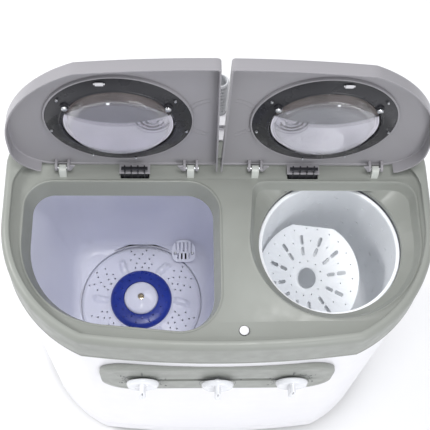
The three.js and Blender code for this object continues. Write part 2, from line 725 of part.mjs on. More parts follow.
// ---------------------------------------------------------------- drain and electrics
const valve = cut(
  join(
    cylinder(DRAIN.x, DRAIN.y, -424, -374, 22, 14),
    cylinder(DRAIN.x, DRAIN.y, -374, -361.3, 13, 14),
    box(DRAIN.x - 34, DRAIN.y - 10, -408, DRAIN.x, DRAIN.y + 10, -388),
  ),
  cylinder(DRAIN.x, DRAIN.y, -430, -400, 8.4, 12),
  cylinder(DRAIN.x, DRAIN.y, -401, -350, 8, 12),
);
named('drain_valve', valve, MAT.dark, machine);
named('valve_plunger', join(
  cylinder(DRAIN.x, DRAIN.y, -438, -404, 8, 12),
  cylinder(DRAIN.x, DRAIN.y, -442, -438, 11, 12),
), MAT.steel, machine);

function tubeAlong(points, radius, sides, steps) {
  const path = new THREE.CatmullRomCurve3(points.map(([x, y, z]) => new THREE.Vector3(x, y, z)));
  const section = new THREE.Shape(circle(0, 0, radius, sides));
  const geometry = new THREE.ExtrudeGeometry(section, { steps, extrudePath: path });
  return toSolid(geometry);
}
const duct = tubeAlong([
  [DRAIN.x - 35.5, DRAIN.y, -398], [DRAIN.x - 45, DRAIN.y, -398], [-125, DRAIN.y + 2, -420],
  [-155, 18, -465], [HOSE.startX, 36, HOSE.lowZ], [HOSE.startX, 52.5, HOSE.lowZ],
], 9, 10, 14);
named('drain_duct', duct, MAT.dark, machine);

const elbow = join(
  cylinderY(HOSE.startX, 54, HOSE.y, HOSE.lowZ, 12, 14),
  cylinderX(HOSE.startX - 12, HOSE.startX + 12, HOSE.y, HOSE.lowZ, 12, 14),
);
named('hose_elbow', elbow, MAT.dark, machine);

// drain hose: from the elbow across the back, a quarter bend, then upright to its open end
function drainHose() {
  const path = new THREE.CurvePath();
  const z0 = HOSE.lowZ;
  const start = new THREE.Vector3(HOSE.startX + 12 + GAP, HOSE.y, z0);
  const bendStart = new THREE.Vector3(-HOSE.bend, HOSE.y, z0);
  const bendEnd = new THREE.Vector3(0, HOSE.y, z0 + HOSE.bend);
  const end = new THREE.Vector3(0, HOSE.y, HOSE.topZ);
  const kappa = 0.5523 * HOSE.bend;
  path.add(new THREE.LineCurve3(start, bendStart));
  path.add(new THREE.CubicBezierCurve3(
    bendStart,
    bendStart.clone().add(new THREE.Vector3(kappa, 0, 0)),
    bendEnd.clone().add(new THREE.Vector3(0, 0, -kappa)),
    bendEnd,
  ));
  path.add(new THREE.LineCurve3(bendEnd, end));
  const section = new THREE.Shape(circle(0, 0, HOSE.r, 10));
  return toSolid(new THREE.ExtrudeGeometry(section, { steps: 22, extrudePath: path }));
}
named('drain_hose', cut(drainHose(), cylinder(0, HOSE.y, HOSE.topZ - 30, HOSE.topZ + 5, 8.5, 12)),
  MAT.hose, machine);

function hoseClip(z) {
  const back = SHELL_BACK_Y + 10 - RIM_BAND + GAP + WALL + GAP;
  return cut(
    join(
      cylinder(0, HOSE.y, z, z + 14, HOSE.r + 3, 14),
      box(-20, back, z, 20, back + 3, z + 14),
      box(-9, back, z, 9, HOSE.y, z + 14),
    ),
    cylinder(0, HOSE.y, z - 1, z + 15, HOSE.r + 0.5, 14),
    box(-7, HOSE.y + 4, z - 1, 7, HOSE.y + 30, z + 15),
  );
}
named('hose_clip', hoseClip(-240), MAT.cabinet, machine);

// bracket on the back shelf that holds the upper end of the hose
const hoseHolder = cut(
  join(
    box(-16, 46, GAP, 16, 78, 4),
    cylinder(0, HOSE.y, GAP, 18, HOSE.r + 3.5, 14),
    box(-15.5, 72.6, -14, 15.5, HOSE.y, 18),
    box(-16, 62, GAP, 16, 78, 18),
  ),
  cylinder(0, HOSE.y, -20, 20, HOSE.r + 0.5, 14),
  box(-11, 50, 8, 11, 71, 14),
);
named('hose_holder', hoseHolder, MAT.cabinet, machine);

const gland = join(
  cylinderY(GLAND.x, 60, 72, GLAND.z, 7.7, 12),
  cylinderY(GLAND.x, 71.6, 76, GLAND.z, 11, 12),
);
named('power_cord_gland', gland, MAT.rubber, machine);
named('capacitor', cylinder(60, 34, -542.7, -480, 17, 14), MAT.cabinet, machine);

// ---------------------------------------------------------------- lids
// Each lid is modelled closed, then its group turns it open about the hinge pins.
function lidShell(side, posts) {
  const region = (inset, z0, z1) => {
    const mirror = side === 'wash' ? -1 : 1;
    const corners = [
      [LID_GAP.hinge + inset, 20 - inset],
      [LID_GAP.front + inset, -270],
      [310, -270],
      [310, 20 - inset],
    ].map(([x, y]) => vec(x * mirror, y));
    return prism(mirror < 0 ? corners.reverse() : corners, z0, z1);
  };
  const BACK = 6;
  const outline = (offset, back) => planOutline(offset, back, 60 + offset);
  const outside = loft([
    { outline: outline(-2.5, BACK), z: -10 },
    { outline: outline(-2.5, BACK), z: 5 },
    { outline: outline(-3.6, BACK - 1), z: 7.8 },
    { outline: outline(-6.5, BACK - 3), z: 9 },
  ]).intersect(region(0, -12, 12));
  const inside = prism(outline(-5, BACK - 2.5), -12, 6.5).intersect(region(2.5, -12, 6.5));
  const x = side === 'wash' ? -PORTHOLE.x : PORTHOLE.x;
  let lid = cut(outside, inside, cylinder(x, PORTHOLE.y, -20, 20, PORTHOLE.outer - 8, 48));
  // the back wall is left only where the tongue is fixed to it
  const [tongueLeft, tongueRight] = TONGUE[side];
  lid = cut(
    lid,
    box(-300, -1, -12, tongueLeft - 3, 10, 5),
    box(tongueRight + 3, -1, -12, 300, 10, 5),
  );
  for (const post of posts) {
    lid = lid.subtract(box(post - POST_HALF - 1.5, -12, -13, post + POST_HALF + 1.5, 7, 6.5));
    for (const lugX of [post - POST_HALF - 5.5, post + POST_HALF + 1.5]) {
      lid = lid.add(box(lugX, -2, -7, lugX + 4, 5.5, 7));
    }
  }
  for (const post of posts) {
    lid = lid.subtract(cylinderX(post - 20, post + 20, PIVOT.y, PIVOT.z, 2.8));
  }
  return lid;
}

function lidTongue([x0, x1]) {
  const plate = box(x0, 6 + GAP, -10, x1, TONGUE_REACH, -7.5);
  const flange = box(x0, 6 + GAP, -10, x1, 8.6, 3.5);
  let tongue = plate.add(flange);
  const ribs = 3;
  for (let i = 0; i < ribs; i += 1) {
    const x = THREE.MathUtils.lerp(x0, x1, (i + 0.5) / ribs);
    tongue = tongue.add(box(x - 1.2, 8, -8, x + 1.2, 16, -2));
  }
  return tongue;
}

for (const side of ['wash', 'spin']) {
  const lid = new THREE.Group();
  lid.position.set(0, PIVOT.y, PIVOT.z);
  lid.rotation.x = -OPEN_ANGLE;
  machine.add(lid);
  const closed = new THREE.Group();
  closed.position.set(0, -PIVOT.y, -PIVOT.z);
  lid.add(closed);
  const x = side === 'wash' ? -PORTHOLE.x : PORTHOLE.x;
  named(`${side}_lid`, lidShell(side, POSTS[side]), MAT.lid, closed);
  const bezel = cut(
    turned(x, PORTHOLE.y, [
      [0, -2], [PORTHOLE.inner + 3, -2], [PORTHOLE.outer - 2, 3.5], [PORTHOLE.outer, 6.2],
      [PORTHOLE.outer - 8.5, 6.2], [PORTHOLE.outer - 8.5, 11], [0, 11],
    ], 28),
    turned(x, PORTHOLE.y, [
      [0, -9], [PORTHOLE.inner, -9], [PORTHOLE.inner, 0.5], [PORTHOLE.outer - 12, 6],
      [PORTHOLE.outer - 11, 12], [0, 12],
    ], 28),
  );
  named(`${side}_porthole_bezel`, bezel, MAT.bezel, closed);
  const window = cut(
    turned(x, PORTHOLE.y, [
      [0, -11], [30, -10.8], [58, -9.5], [63, -8], [PORTHOLE.inner - GAP, 3], [68, 3], [0, 3],
    ], 24),
    turned(x, PORTHOLE.y, [[0, -8.5], [29, -8.3], [57, -7], [61, -5.6], [68, 4], [0, 4]], 24),
  );
  named(`${side}_window`, window, MAT.clear, closed);
  named(`${side}_lid_tongue`, lidTongue(TONGUE[side]), MAT.dark, closed);
  POSTS[side].forEach((post, i) => {
    const place = i === 0 ? 'left' : 'right';
    const pin = cylinderX(post - POST_HALF - 6, post + POST_HALF + 6, PIVOT.y, PIVOT.z, 2.5);
    named(`${side}_hinge_pin_${place}`, pin, MAT.steel, machine);
  });
}

export default group;
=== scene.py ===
"""Compact twin-tub washing machine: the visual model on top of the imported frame."""
import json
import math

import bmesh
import bpy
from mathutils import Matrix, Vector
from mathutils.geometry import tessellate_polygon


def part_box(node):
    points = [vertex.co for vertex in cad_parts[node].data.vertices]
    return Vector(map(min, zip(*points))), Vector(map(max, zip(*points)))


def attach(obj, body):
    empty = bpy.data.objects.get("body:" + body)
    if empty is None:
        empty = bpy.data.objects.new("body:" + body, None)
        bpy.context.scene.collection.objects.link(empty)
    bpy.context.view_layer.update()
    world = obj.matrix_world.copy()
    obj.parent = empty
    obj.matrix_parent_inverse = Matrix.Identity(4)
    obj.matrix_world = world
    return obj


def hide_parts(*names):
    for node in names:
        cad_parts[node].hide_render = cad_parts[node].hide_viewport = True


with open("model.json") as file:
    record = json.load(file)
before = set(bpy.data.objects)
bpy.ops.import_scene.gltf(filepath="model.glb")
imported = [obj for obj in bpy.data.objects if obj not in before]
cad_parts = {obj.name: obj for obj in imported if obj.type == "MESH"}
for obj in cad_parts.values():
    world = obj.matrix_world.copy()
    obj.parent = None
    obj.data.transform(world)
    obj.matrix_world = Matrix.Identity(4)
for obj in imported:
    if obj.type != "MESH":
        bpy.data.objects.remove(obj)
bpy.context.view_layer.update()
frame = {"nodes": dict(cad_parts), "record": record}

# ---------------------------------------------------------------- the machine's own coordinates
# Shapes are given in millimetres from the top of the rim and the hinge line, as in the CAD model.
MM = 0.001
pin_low, pin_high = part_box("wash_hinge_pin_left")
HINGE = (pin_low + pin_high) / 2
PIVOT_Y, PIVOT_Z = 4, -2
ORIGIN = Vector((0, HINGE.y - PIVOT_Y * MM, HINGE.z - PIVOT_Z * MM))
HERE = Matrix.Translation(ORIGIN) @ Matrix.Scale(MM, 4)
OPEN_ANGLE = math.radians(92.5)
LID_OPEN = (HERE @ Matrix.Translation((0, PIVOT_Y, PIVOT_Z)) @ Matrix.Rotation(-OPEN_ANGLE, 4, "X")
            @ Matrix.Translation((0, -PIVOT_Y, -PIVOT_Z)))

HALF_WIDTH, SIDE_RADIUS, SIDE_CENTRE_Y = 281, 175, -72
FRONT_Y, FRONT_RADIUS = -242, 1450
DECK_Z, WALL = -12, 3
PORTHOLE = (132, -109)
PORTHOLE_R = 95
PULSATOR = (-118, -71)
SPIN = (154, -97)
TUB_FLOOR = -350
POSTS = {"wash": (-214.5, -39), "spin": (50.5, 218.5)}
TONGUES = {"wash": (-134, -98), "spin": (98, 137)}
KNOB_X = {"wash_timer_knob": -105, "drain_selector_knob": 0, "spin_timer_knob": 105}
KNOB_Z = -150
PANEL_OFFSET = 18


# ---------------------------------------------------------------- outlines
def arc(cx, cy, radius, start, stop, steps):
    angles = [math.radians(start + (stop - start) * i / steps) for i in range(steps + 1)]
    return [(cx + radius * math.cos(a), cy + radius * math.sin(a)) for a in angles]


def facet_angle(side, front):
    """Where the side arc meets the bowed front, in degrees."""
    side_x = HALF_WIDTH - SIDE_RADIUS
    rise = FRONT_Y + FRONT_RADIUS - SIDE_CENTRE_Y
    apart = math.hypot(side_x, rise)
    cosine = (apart ** 2 + side ** 2 - front ** 2) / (2 * apart * side)
    return math.degrees(math.atan2(rise, -side_x) - math.acos(cosine))


def plan(offset, back_y, back_radius=None):
    """The machine's plan, offset outwards from the inner edge of the rim."""
    back_radius = 45 + offset if back_radius is None else back_radius
    side_x = HALF_WIDTH - SIDE_RADIUS
    side, front = SIDE_RADIUS + offset, FRONT_RADIUS + offset
    facet = facet_angle(side, front)
    facet_x = side_x + side * math.cos(math.radians(facet))
    half = math.degrees(math.asin(facet_x / front))
    cx, cy = HALF_WIDTH + offset - back_radius, back_y - back_radius
    return (arc(cx, cy, back_radius, 0, 90, 12) + arc(-cx, cy, back_radius, 90, 180, 12)
            + arc(-side_x, SIDE_CENTRE_Y, side, 180, 180 - facet, 30)
            + arc(0, FRONT_Y + FRONT_RADIUS, front, 270 - half, 270 + half, 24)[1:-1]
            + arc(side_x, SIDE_CENTRE_Y, side, facet, 0, 30))


def skirt(offset):
    return plan(offset, 58 + offset, 58)


def recess(offset):
    return plan(offset, 19 + offset)


def front_y(x, offset):
    return FRONT_Y + FRONT_RADIUS - math.sqrt((FRONT_RADIUS + offset) ** 2 - x ** 2)


def filleted(corners, steps=12):
    """A polygon with rounded corners; corners are (x, y, radius), counter-clockwise."""
    points = []
    for i, (x, y, radius) in enumerate(corners):
        corner = Vector((x, y))
        before = (Vector(corners[i - 1][:2]) - corner).normalized()
        after = (Vector(corners[(i + 1) % len(corners)][:2]) - corner).normalized()
        half = before.angle(after) / 2
        centre = corner + (before + after).normalized() * radius / math.sin(half)
        reach = radius / math.tan(half)
        first, last = corner + before * reach - centre, corner + after * reach - centre
        start = math.atan2(first.y, first.x)
        turn = (math.atan2(last.y, last.x) - start + math.pi) % math.tau - math.pi
        points += arc(*centre, radius, math.degrees(start), math.degrees(start + turn), steps)
    return points


def wash_opening(grow):
    return filleted([(-257 - grow, -198 - grow, 112 + grow), (-7 + grow, -224 - grow, 46 + grow),
                     (-7 + grow, -20 + grow, 38 + grow), (-257 - grow, -20 + grow, 30 + grow)], 16)


def tub_outline(share, grow, tuck=0):
    """The wash tub's plan at a share of the way down."""
    def mix(top, foot):
        return top + (foot - top) * share
    g = grow - tuck
    front = mix(-235, -180) - g
    left, right, back = mix(-269, -231) - g, mix(34, 0) + g, mix(34, 33) + g
    return filleted([(left, front + 16 * (1 - share), 112 - 40 * share + g),
                     (right, front, 48 + g), (right, back, 40 + g), (left, back, 40 + g)], 14)


def spin_recess(grow):
    x, y = SPIN
    outline = (arc(x, y, 112 + grow, 180, 270, 24) + arc(x + 4, y + 4, 116 + grow, 272, 360, 24)
               + arc(250 + grow / 2, -36 + grow / 2, 24 + grow / 2, 0, 90, 10)
               + arc(64 - grow / 2, -29 + grow / 2, 17 + grow / 2, 90, 172, 10))
    return resampled(outline, x, y, 144)


def circle(cx, cy, radius, count):
    return arc(cx, cy, radius, 0, 360, count)[:-1]


def resampled(outline, cx, cy, count):
    """The outline's points at equal angles about a centre."""
    points = []
    for i in range(count):
        angle = math.tau * i / count
        ux, uy = math.cos(angle), math.sin(angle)
        best = 0
        for (ax, ay), (bx, by) in zip(outline, outline[1:] + outline[:1]):
            ex, ey = bx - ax, by - ay
            det = ex * uy - ey * ux
            if abs(det) < 1e-9:
                continue
            along = (ux * (ay - cy) - uy * (ax - cx)) / det
            if -1e-9 <= along <= 1 + 1e-9:
                best = max(best, (ex * (ay - cy) - ey * (ax - cx)) / det)
        points.append((cx + best * ux, cy + best * uy))
    return points


def stadium(x0, x1, half_width, steps=5):
    """A slot outline along X with round ends."""
    r = half_width
    return arc(x1 - r, 0, r, -90, 90, steps) + arc(x0 + r, 0, r, 90, 270, steps)


# ---------------------------------------------------------------- meshes
class Shell:
    """Points and faces of one piece, put together from rings."""

    def __init__(self):
        self.points, self.faces = [], []

    def ring(self, outline, z=None):
        start = len(self.points)
        self.points += [tuple(p) if z is None else (p[0], p[1], z) for p in outline]
        return list(range(start, len(self.points)))

    def walls(self, outline, levels):
        """Rings of outline(offset) at each (offset, z), skinned one to the next."""
        rings = [self.ring(outline(offset), z) for offset, z in levels]
        self.skin(*rings)
        return rings

    def skin(self, *rings):
        for a, b in zip(rings, rings[1:]):
            n = len(a)
            for i in range(n):
                corners = dict.fromkeys((a[i], a[(i + 1) % n], b[(i + 1) % n], b[i]))
                if len(corners) > 2:
                    self.faces.append(tuple(corners))

    def sheet(self, *loops):
        """Fills the first loop, leaving the others as holes."""
        corners = [[Vector(self.points[i]) for i in loop] for loop in loops]
        flat = [i for loop in loops for i in loop]
        self.faces += [tuple(flat[i] for i in tri) for tri in tessellate_polygon(corners)]

    def prism(self, outline, z0, z1, turn=None):
        """A closed prism, optionally moved by a matrix."""
        start = len(self.points)
        low, high = self.ring(outline, z0), self.ring(outline, z1)
        self.skin(low, high)
        self.faces += [tuple(reversed(low)), tuple(high)]
        self.turn(turn, start)

    def lathe(self, profile, count, centre=(0, 0), turn=None):
        """A body turned about an upright axis; the profile starts and ends on the axis or closes."""
        start = len(self.points)
        rings = []
        for radius, z in profile:
            if radius == 0:
                self.points.append((*centre, z))
                rings.append([len(self.points) - 1] * count)
            else:
                rings.append(self.ring(circle(*centre, radius, count), z))
        if profile[0][0] > 0:
            rings.append(rings[0])
        self.skin(*rings)
        self.turn(turn, start)

    def box(self, low, high, turn=None):
        (x0, y0, z0), (x1, y1, z1) = low, high
        self.prism([(x0, y0), (x1, y0), (x1, y1), (x0, y1)], z0, z1, turn)

    def turn(self, matrix, start=0):
        if matrix is not None:
            moved = [tuple(matrix @ Vector(p)) for p in self.points[start:]]
            self.points[start:] = moved

    def build(self, name, place=HERE):
        mesh = bpy.data.meshes.new(name)
        mesh.from_pydata([place @ Vector(p) for p in self.points], [], self.faces)
        bm = bmesh.new()
        bm.from_mesh(mesh)
        bmesh.ops.remove_doubles(bm, verts=bm.verts, dist=1e-6)
        bmesh.ops.dissolve_degenerate(bm, edges=bm.edges, dist=1e-7)
        bmesh.ops.recalc_face_normals(bm, faces=bm.faces)
        bm.to_mesh(mesh)
        bm.free()
        obj = bpy.data.objects.new(name, mesh)
        bpy.context.scene.collection.objects.link(obj)
        return obj


def combine(obj, operation, other):
    """Applies one boolean and removes the other body."""
    modifier = obj.modifiers.new("boolean", "BOOLEAN")
    modifier.operation, modifier.object, modifier.solver = operation, other, "MANIFOLD"
    depsgraph = bpy.context.evaluated_depsgraph_get()
    mesh = bpy.data.meshes.new_from_object(obj.evaluated_get(depsgraph))
    obj.modifiers.clear()
    obj.data = mesh
    bpy.data.objects.remove(other)


def finish_piece(obj, body, slot, mat, stands_for=(), sharp=32, bevel=0):
    mesh = obj.data
    mesh.materials.clear()
    mesh.materials.append(mat)
    mesh.shade_smooth()
    mesh.set_sharp_from_angle(angle=math.radians(sharp))
    if bevel:
        round_edges(obj, bevel)
    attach(obj, body)
    if stands_for:
        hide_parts(*stands_for)
    return obj


def round_edges(obj, width, segments=2):
    modifier = obj.modifiers.new("edges", "BEVEL")
    modifier.width, modifier.segments = width * MM, segments
    modifier.limit_method, modifier.angle_limit = "ANGLE", math.radians(40)


# ---------------------------------------------------------------- materials
def noise(nodes, links, coords, scale, detail):
    tex = nodes.new("ShaderNodeTexNoise")
    tex.inputs["Scale"].default_value = scale
    tex.inputs["Detail"].default_value = detail
    links.new(coords, tex.inputs["Vector"])
    return tex.outputs["Fac"]


def ranged(nodes, links, value, low, high, start=0.35, stop=0.65):
    node = nodes.new("ShaderNodeMapRange")
    for key, number in (("From Min", start), ("From Max", stop), ("To Min", low), ("To Max", high)):
        node.inputs[key].default_value = number
    links.new(value, node.inputs["Value"])
    return node.outputs["Result"]


def material(name, color, roughness, *, shade=0.07, shade_scale=9, grain=0.12, grain_scale=1300,
             spread=0.07, tint=None, **sockets):
    """A moulded or metal surface: uneven tone, uneven gloss and a fine surface grain."""
    mat = bpy.data.materials.new(name)
    mat.use_nodes = True
    nodes, links = mat.node_tree.nodes, mat.node_tree.links
    shader = nodes["Principled BSDF"]
    for key, value in sockets.items():
        shader.inputs[key.replace("_", " ")].default_value = value
    coords = nodes.new("ShaderNodeTexCoord").outputs["Object"]
    tone = nodes.new("ShaderNodeMix")
    tone.data_type = "RGBA"
    dark = [c * (1 - shade) for c in (tint or color)]
    light = [min(1, c * (1 + shade)) for c in color]
    tone.inputs["A"].default_value = (*dark, 1)
    tone.inputs["B"].default_value = (*light, 1)
    broad = noise(nodes, links, coords, shade_scale, 5)
    links.new(ranged(nodes, links, broad, 0, 1, 0.3, 0.7), tone.inputs["Factor"])
    links.new(tone.outputs["Result"], shader.inputs["Base Color"])
    smear = noise(nodes, links, coords, shade_scale * 6, 4)
    links.new(ranged(nodes, links, smear, max(0.02, roughness - spread), roughness + spread),
              shader.inputs["Roughness"])
    fine = noise(nodes, links, coords, grain_scale, 2)
    bump = nodes.new("ShaderNodeBump")
    bump.inputs["Strength"].default_value = grain
    bump.inputs["Distance"].default_value = 0.0004
    links.new(fine, bump.inputs["Height"])
    links.new(bump.outputs["Normal"], shader.inputs["Normal"])
    return mat


MAT = {
    "frame": material("frame_plastic", (0.246, 0.257, 0.237), 0.42, shade=0.03, grain=0.08,
                      tint=(0.239, 0.249, 0.228)),
    "post": material("post_plastic", (0.50, 0.52, 0.49), 0.42, shade=0.03, grain=0.08),
    "white": material("white_plastic", (0.76, 0.755, 0.785), 0.32, shade=0.015, grain=0.03,
                      spread=0.03),
    "tub": material("tub_plastic", (0.84, 0.85, 0.94), 0.3, shade=0.015, grain=0.01, spread=0.01,
                    tint=(0.82, 0.83, 0.93)),
    "basket": material("basket_plastic", (0.90, 0.92, 0.95), 0.3, shade=0.015, grain=0.01,
                       spread=0.01),
    "blue": material("blue_plastic", (0.012, 0.035, 0.30), 0.33, shade=0.15, grain=0.1),
    "smoke": material("smoky_plastic", (0.325, 0.316, 0.336), 0.3, shade=0.02, grain=0.01,
                      spread=0.02, Transmission_Weight=0.12, IOR=1.45),
    "charcoal": material("charcoal_plastic", (0.022, 0.022, 0.026), 0.3, shade=0.12, grain=0.05,
                         Specular_IOR_Level=0.35),
    # the pale, grey and brown window colours are painted light: painted reflections of the tub and a
    # band of painted shade, seen in the clear window
    "pale": material("painted_tub_reflection", (0.72, 0.70, 0.77), 0.12, shade=0.08, shade_scale=22, grain=0.02,
                     spread=0.05),
    "shade": material("painted_brown_shade", (0.12, 0.10, 0.095), 0.12, shade=0.35, shade_scale=30,
                      grain=0.02, spread=0.04),
    "lens": material("painted_grey_reflection", (0.25, 0.245, 0.265), 0.1, shade=0.05, grain=0.02, spread=0.04),
    "clear": material("clear_window", (0.86, 0.86, 0.88), 0.03, shade=0.01, grain=0.01, spread=0.01,
                      Transmission_Weight=1.0, IOR=1.5, Alpha=0.45),
    "dark": material("dark_plastic", (0.018, 0.018, 0.02), 0.5, shade=0.2, grain=0.15),
    "rubber": material("black_rubber", (0.016, 0.016, 0.016), 0.75, shade=0.25, grain=0.3,
                       grain_scale=700),
    "steel": material("plain_steel", (0.56, 0.57, 0.59), 0.3, shade=0.12, shade_scale=30, grain=0.1,
                      spread=0.12, Metallic=1.0),
    "motor": material("motor_paint", (0.13, 0.14, 0.15), 0.45, shade=0.2, grain=0.3, Metallic=0.6),
    "hose": material("hose_plastic", (0.60, 0.61, 0.63), 0.42, shade=0.05, grain=0.05),
    "knob": material("knob_plastic", (0.70, 0.71, 0.74), 0.25, shade=0.02, grain=0.03, spread=0.03),
    "print": material("dial_print", (0.06, 0.065, 0.075), 0.45, shade=0.1, grain=0.05),
    "brass": material("screw_plating", (0.52, 0.44, 0.30), 0.3, shade=0.15, shade_scale=60,
                      grain=0.1, Metallic=1.0),
}
SLOTS = {"frame": "frame_plastic", "post": "frame_plastic", "white": "white_plastic",
         "tub": "tub_plastic", "basket": "tub_plastic", "blue": "blue_plastic",
         "smoke": "smoky_plastic", "charcoal": "charcoal_plastic", "clear": "clear_window",
         "pale": "clear_window", "lens": "clear_window", "shade": "clear_window",
         "dark": "dark_plastic", "rubber": "black_rubber", "steel": "plain_steel",
         "motor": "motor_paint", "hose": "hose_plastic", "knob": "knob_plastic",
         "print": "dark_plastic", "brass": "plain_steel"}
# materials that only visual pieces have; they share a CAD material's slot
VISUAL_ONLY = ("post", "basket", "pale", "lens", "shade", "print", "brass")


def piece(shell, name, kind, body="cabinet", stands_for=(), place=HERE, **looks):
    """Builds a shell, or takes a built body, and finishes it as one visible piece."""
    obj = shell.build(name, place) if isinstance(shell, Shell) else shell
    return finish_piece(obj, body, SLOTS[kind], MAT[kind], stands_for, **looks)


# ---------------------------------------------------------------- camera, floor and light
def camera():
    yaw, pitch, roll = 0.1161, 1.1303, 0.108
    forward = Vector((math.sin(yaw) * math.cos(pitch), math.cos(yaw) * math.cos(pitch),
                      -math.sin(pitch)))
    level = Vector((math.cos(yaw), -math.sin(yaw), 0))
    lifted = level.cross(forward)
    right = level * math.cos(roll) + lifted * math.sin(roll)
    up = lifted * math.cos(roll) - level * math.sin(roll)
    data = bpy.data.cameras.new("camera")
    data.sensor_width, data.lens = 36, 76.87
    data.shift_x, data.shift_y = -0.0244, -0.0352
    obj = bpy.data.objects.new("camera", data)
    place = Matrix((right, up, -forward)).transposed().to_4x4()
    place.translation = HERE @ Vector((-53.44, -575.03, 1132.28))
    obj.matrix_world = place
    bpy.context.scene.collection.objects.link(obj)
    bpy.context.scene.camera = obj


def area_light(name, location, target, size, power, color=(1, 1, 1)):
    data = bpy.data.lights.new(name, "AREA")
    data.shape, data.size, data.energy, data.color = "DISK", size, power, color
    obj = bpy.data.objects.new(name, data)
    obj.location = location
    obj.rotation_euler = (Vector(target) - Vector(location)).to_track_quat("-Z", "Y").to_euler()
    bpy.context.scene.collection.objects.link(obj)


def studio():
    world = bpy.data.worlds.new("studio")
    world.use_nodes = True
    background = world.node_tree.nodes["Background"]
    background.inputs["Color"].default_value = (0.93, 0.94, 0.96, 1)
    background.inputs["Strength"].default_value = 0.72
    bpy.context.scene.world = world
    area_light("key", (-2.2, 0.35, 2.1), (0, 0, 0.5), 1.0, 46)
    area_light("fill", (1.1, -2.3, 1.4), (0, 0, 0.6), 1.6, 27, (0.97, 0.98, 1))
    area_light("top", (0.12, -0.35, 2.9), (0.05, 0, 0.3), 0.8, 27)
    floor = Shell()
    floor.ring(circle(0, 0, 9000, 64), 0)
    floor.faces = [tuple(range(64))]
    obj = floor.build("floor", Matrix.Scale(MM, 4))
    obj.data.materials.append(material("floor_paper", (0.86, 0.86, 0.87), 0.85, shade=0.01,
                                       grain=0.03, Specular_IOR_Level=0.1))
    bpy.context.scene.view_settings.view_transform = "Standard"


# ---------------------------------------------------------------- top frame
def top_frame():
    body = Shell()
    outside = body.walls(skirt, [
        (11, -62), (13.6, -62), (14.2, -61.2), (14.3, -59.8), (14.1, -58.4), (13.6, -57.6),
        (13.7, -56), (12.3, -11), (12, -8), (11, -5), (9.4, -2.6), (7.6, -1), (5.6, -0.2)])
    inside = body.walls(recess, [
        (2.4, 0), (1, -0.3), (0.2, -1), (0, -2), (0.5, -3.2), (2.6, -4.2), (2.6, -9.6),
        (0.6, -11.4), (-1.6, DECK_Z)])
    body.skin(outside[-1], inside[0])
    wash = body.walls(wash_opening, [
        (11.5, DECK_Z), (10.4, -11.3), (9.2, -11), (8.2, -11.3), (7.6, -12.4), (6.6, -16),
        (0.4, -38.6), (-0.2, -40), (0.4, -40.8), (3, -41), (4.2, -38), (11, -15)])
    funnel = body.walls(spin_recess, [
        (3.6, DECK_Z), (2.2, -11.3), (0.9, -11.4), (0.1, -12.4), (-0.9, -15), (-4.6, -25.8),
        (-5.6, -27)])
    throat = body.walls(lambda grow: circle(*SPIN, 99 + grow, 144), [
        (1.6, -33), (0.2, -34.4), (0, -36), (0, -40.6), (0.8, -41.4), (3, -41.2), (3, -38)])
    under = body.walls(spin_recess, [(0, -31), (6, -15)])
    body.skin(funnel[-1], throat[0])
    body.skin(throat[-1], under[0])
    plug = body.walls(lambda grow: circle(30, -226, 4.6 + grow, 32), [
        (2.4, DECK_Z), (1.8, -13), (1.8, -15)])
    body.sheet(inside[-1], wash[0], funnel[0], plug[0])
    floor = body.ring(skirt(11), -15)
    body.sheet(floor, wash[-1], under[-1], plug[-1])
    body.skin(floor, outside[0])
    moulding = body.build("top_frame_moulding")
    holes = Shell()
    for x0, x1 in TONGUES.values():
        holes.prism(filleted([(x0 - 2, -7, 1.5), (x1 + 2, -7, 1.5), (x1 + 2, 31, 1),
                              (x0 - 2, 31, 1)], 4), -20, 2)
    holes.box((-9, 60, -4), (9, 66, 2))
    combine(moulding, "DIFFERENCE", holes.build("tongue_holes"))
    piece(moulding, "top_frame_moulding", "frame", stands_for=["top_frame"], sharp=28)
    for side, (x0, x1) in TONGUES.items():
        pocket = Shell()
        rings = []
        for grow, z in ((2.4, -12.6), (2.4, -36), (4, -38), (4, -12.8)):
            low, high = (x0 - grow, -5 - grow), (x1 + grow, 29 + grow)
            rings.append(pocket.ring(filleted([(*low, 2), (high[0], low[1], 2), (*high, 2),
                                               (low[0], high[1], 2)], 4), z))
        pocket.skin(*rings, rings[0])
        pocket.faces += [tuple(rings[1]), tuple(rings[2])]
        piece(pocket, f"{side}_tongue_pocket", "dark")


def hinge_posts():
    for side, places in POSTS.items():
        for label, x in zip(("left", "right"), places):
            post = Shell()
            profile = [(-6, -12.2), (10, -12.2), (8, 1), (6.2, 3.6), (4, 4), (0, 4), (-2.4, 3.2),
                       (-4, 0)]
            near = post.ring([(x - 5, y, z) for y, z in profile])
            far = post.ring([(x + 5, y, z) for y, z in profile])
            post.skin(near, far)
            post.faces += [tuple(near), tuple(far)]
            piece(post, f"{side}_hinge_post_{label}", "post", bevel=0.7, sharp=30)


def deck_plug():
    cap = Shell()
    cap.lathe([(0, -15), (4, -15), (4, -11.4), (6.1, -11.4), (6.3, -10.9), (6, -10.1), (4.6, -9.5),
               (2.4, -9.3), (1.7, -9.8), (0, -9.9)], 48, (30, -226))
    piece(cap, "deck_plug_cap", "white", stands_for=["deck_plug"])
    # a thin black ring round the cap: painted shadow in the gap round the plug
    ring = Shell()
    ring.lathe([(6, -12.6), (7.2, -12.4), (7, -11.7), (6, -11.5)], 48, (30, -226))
    piece(ring, "deck_plug_shadow_ring", "rubber")


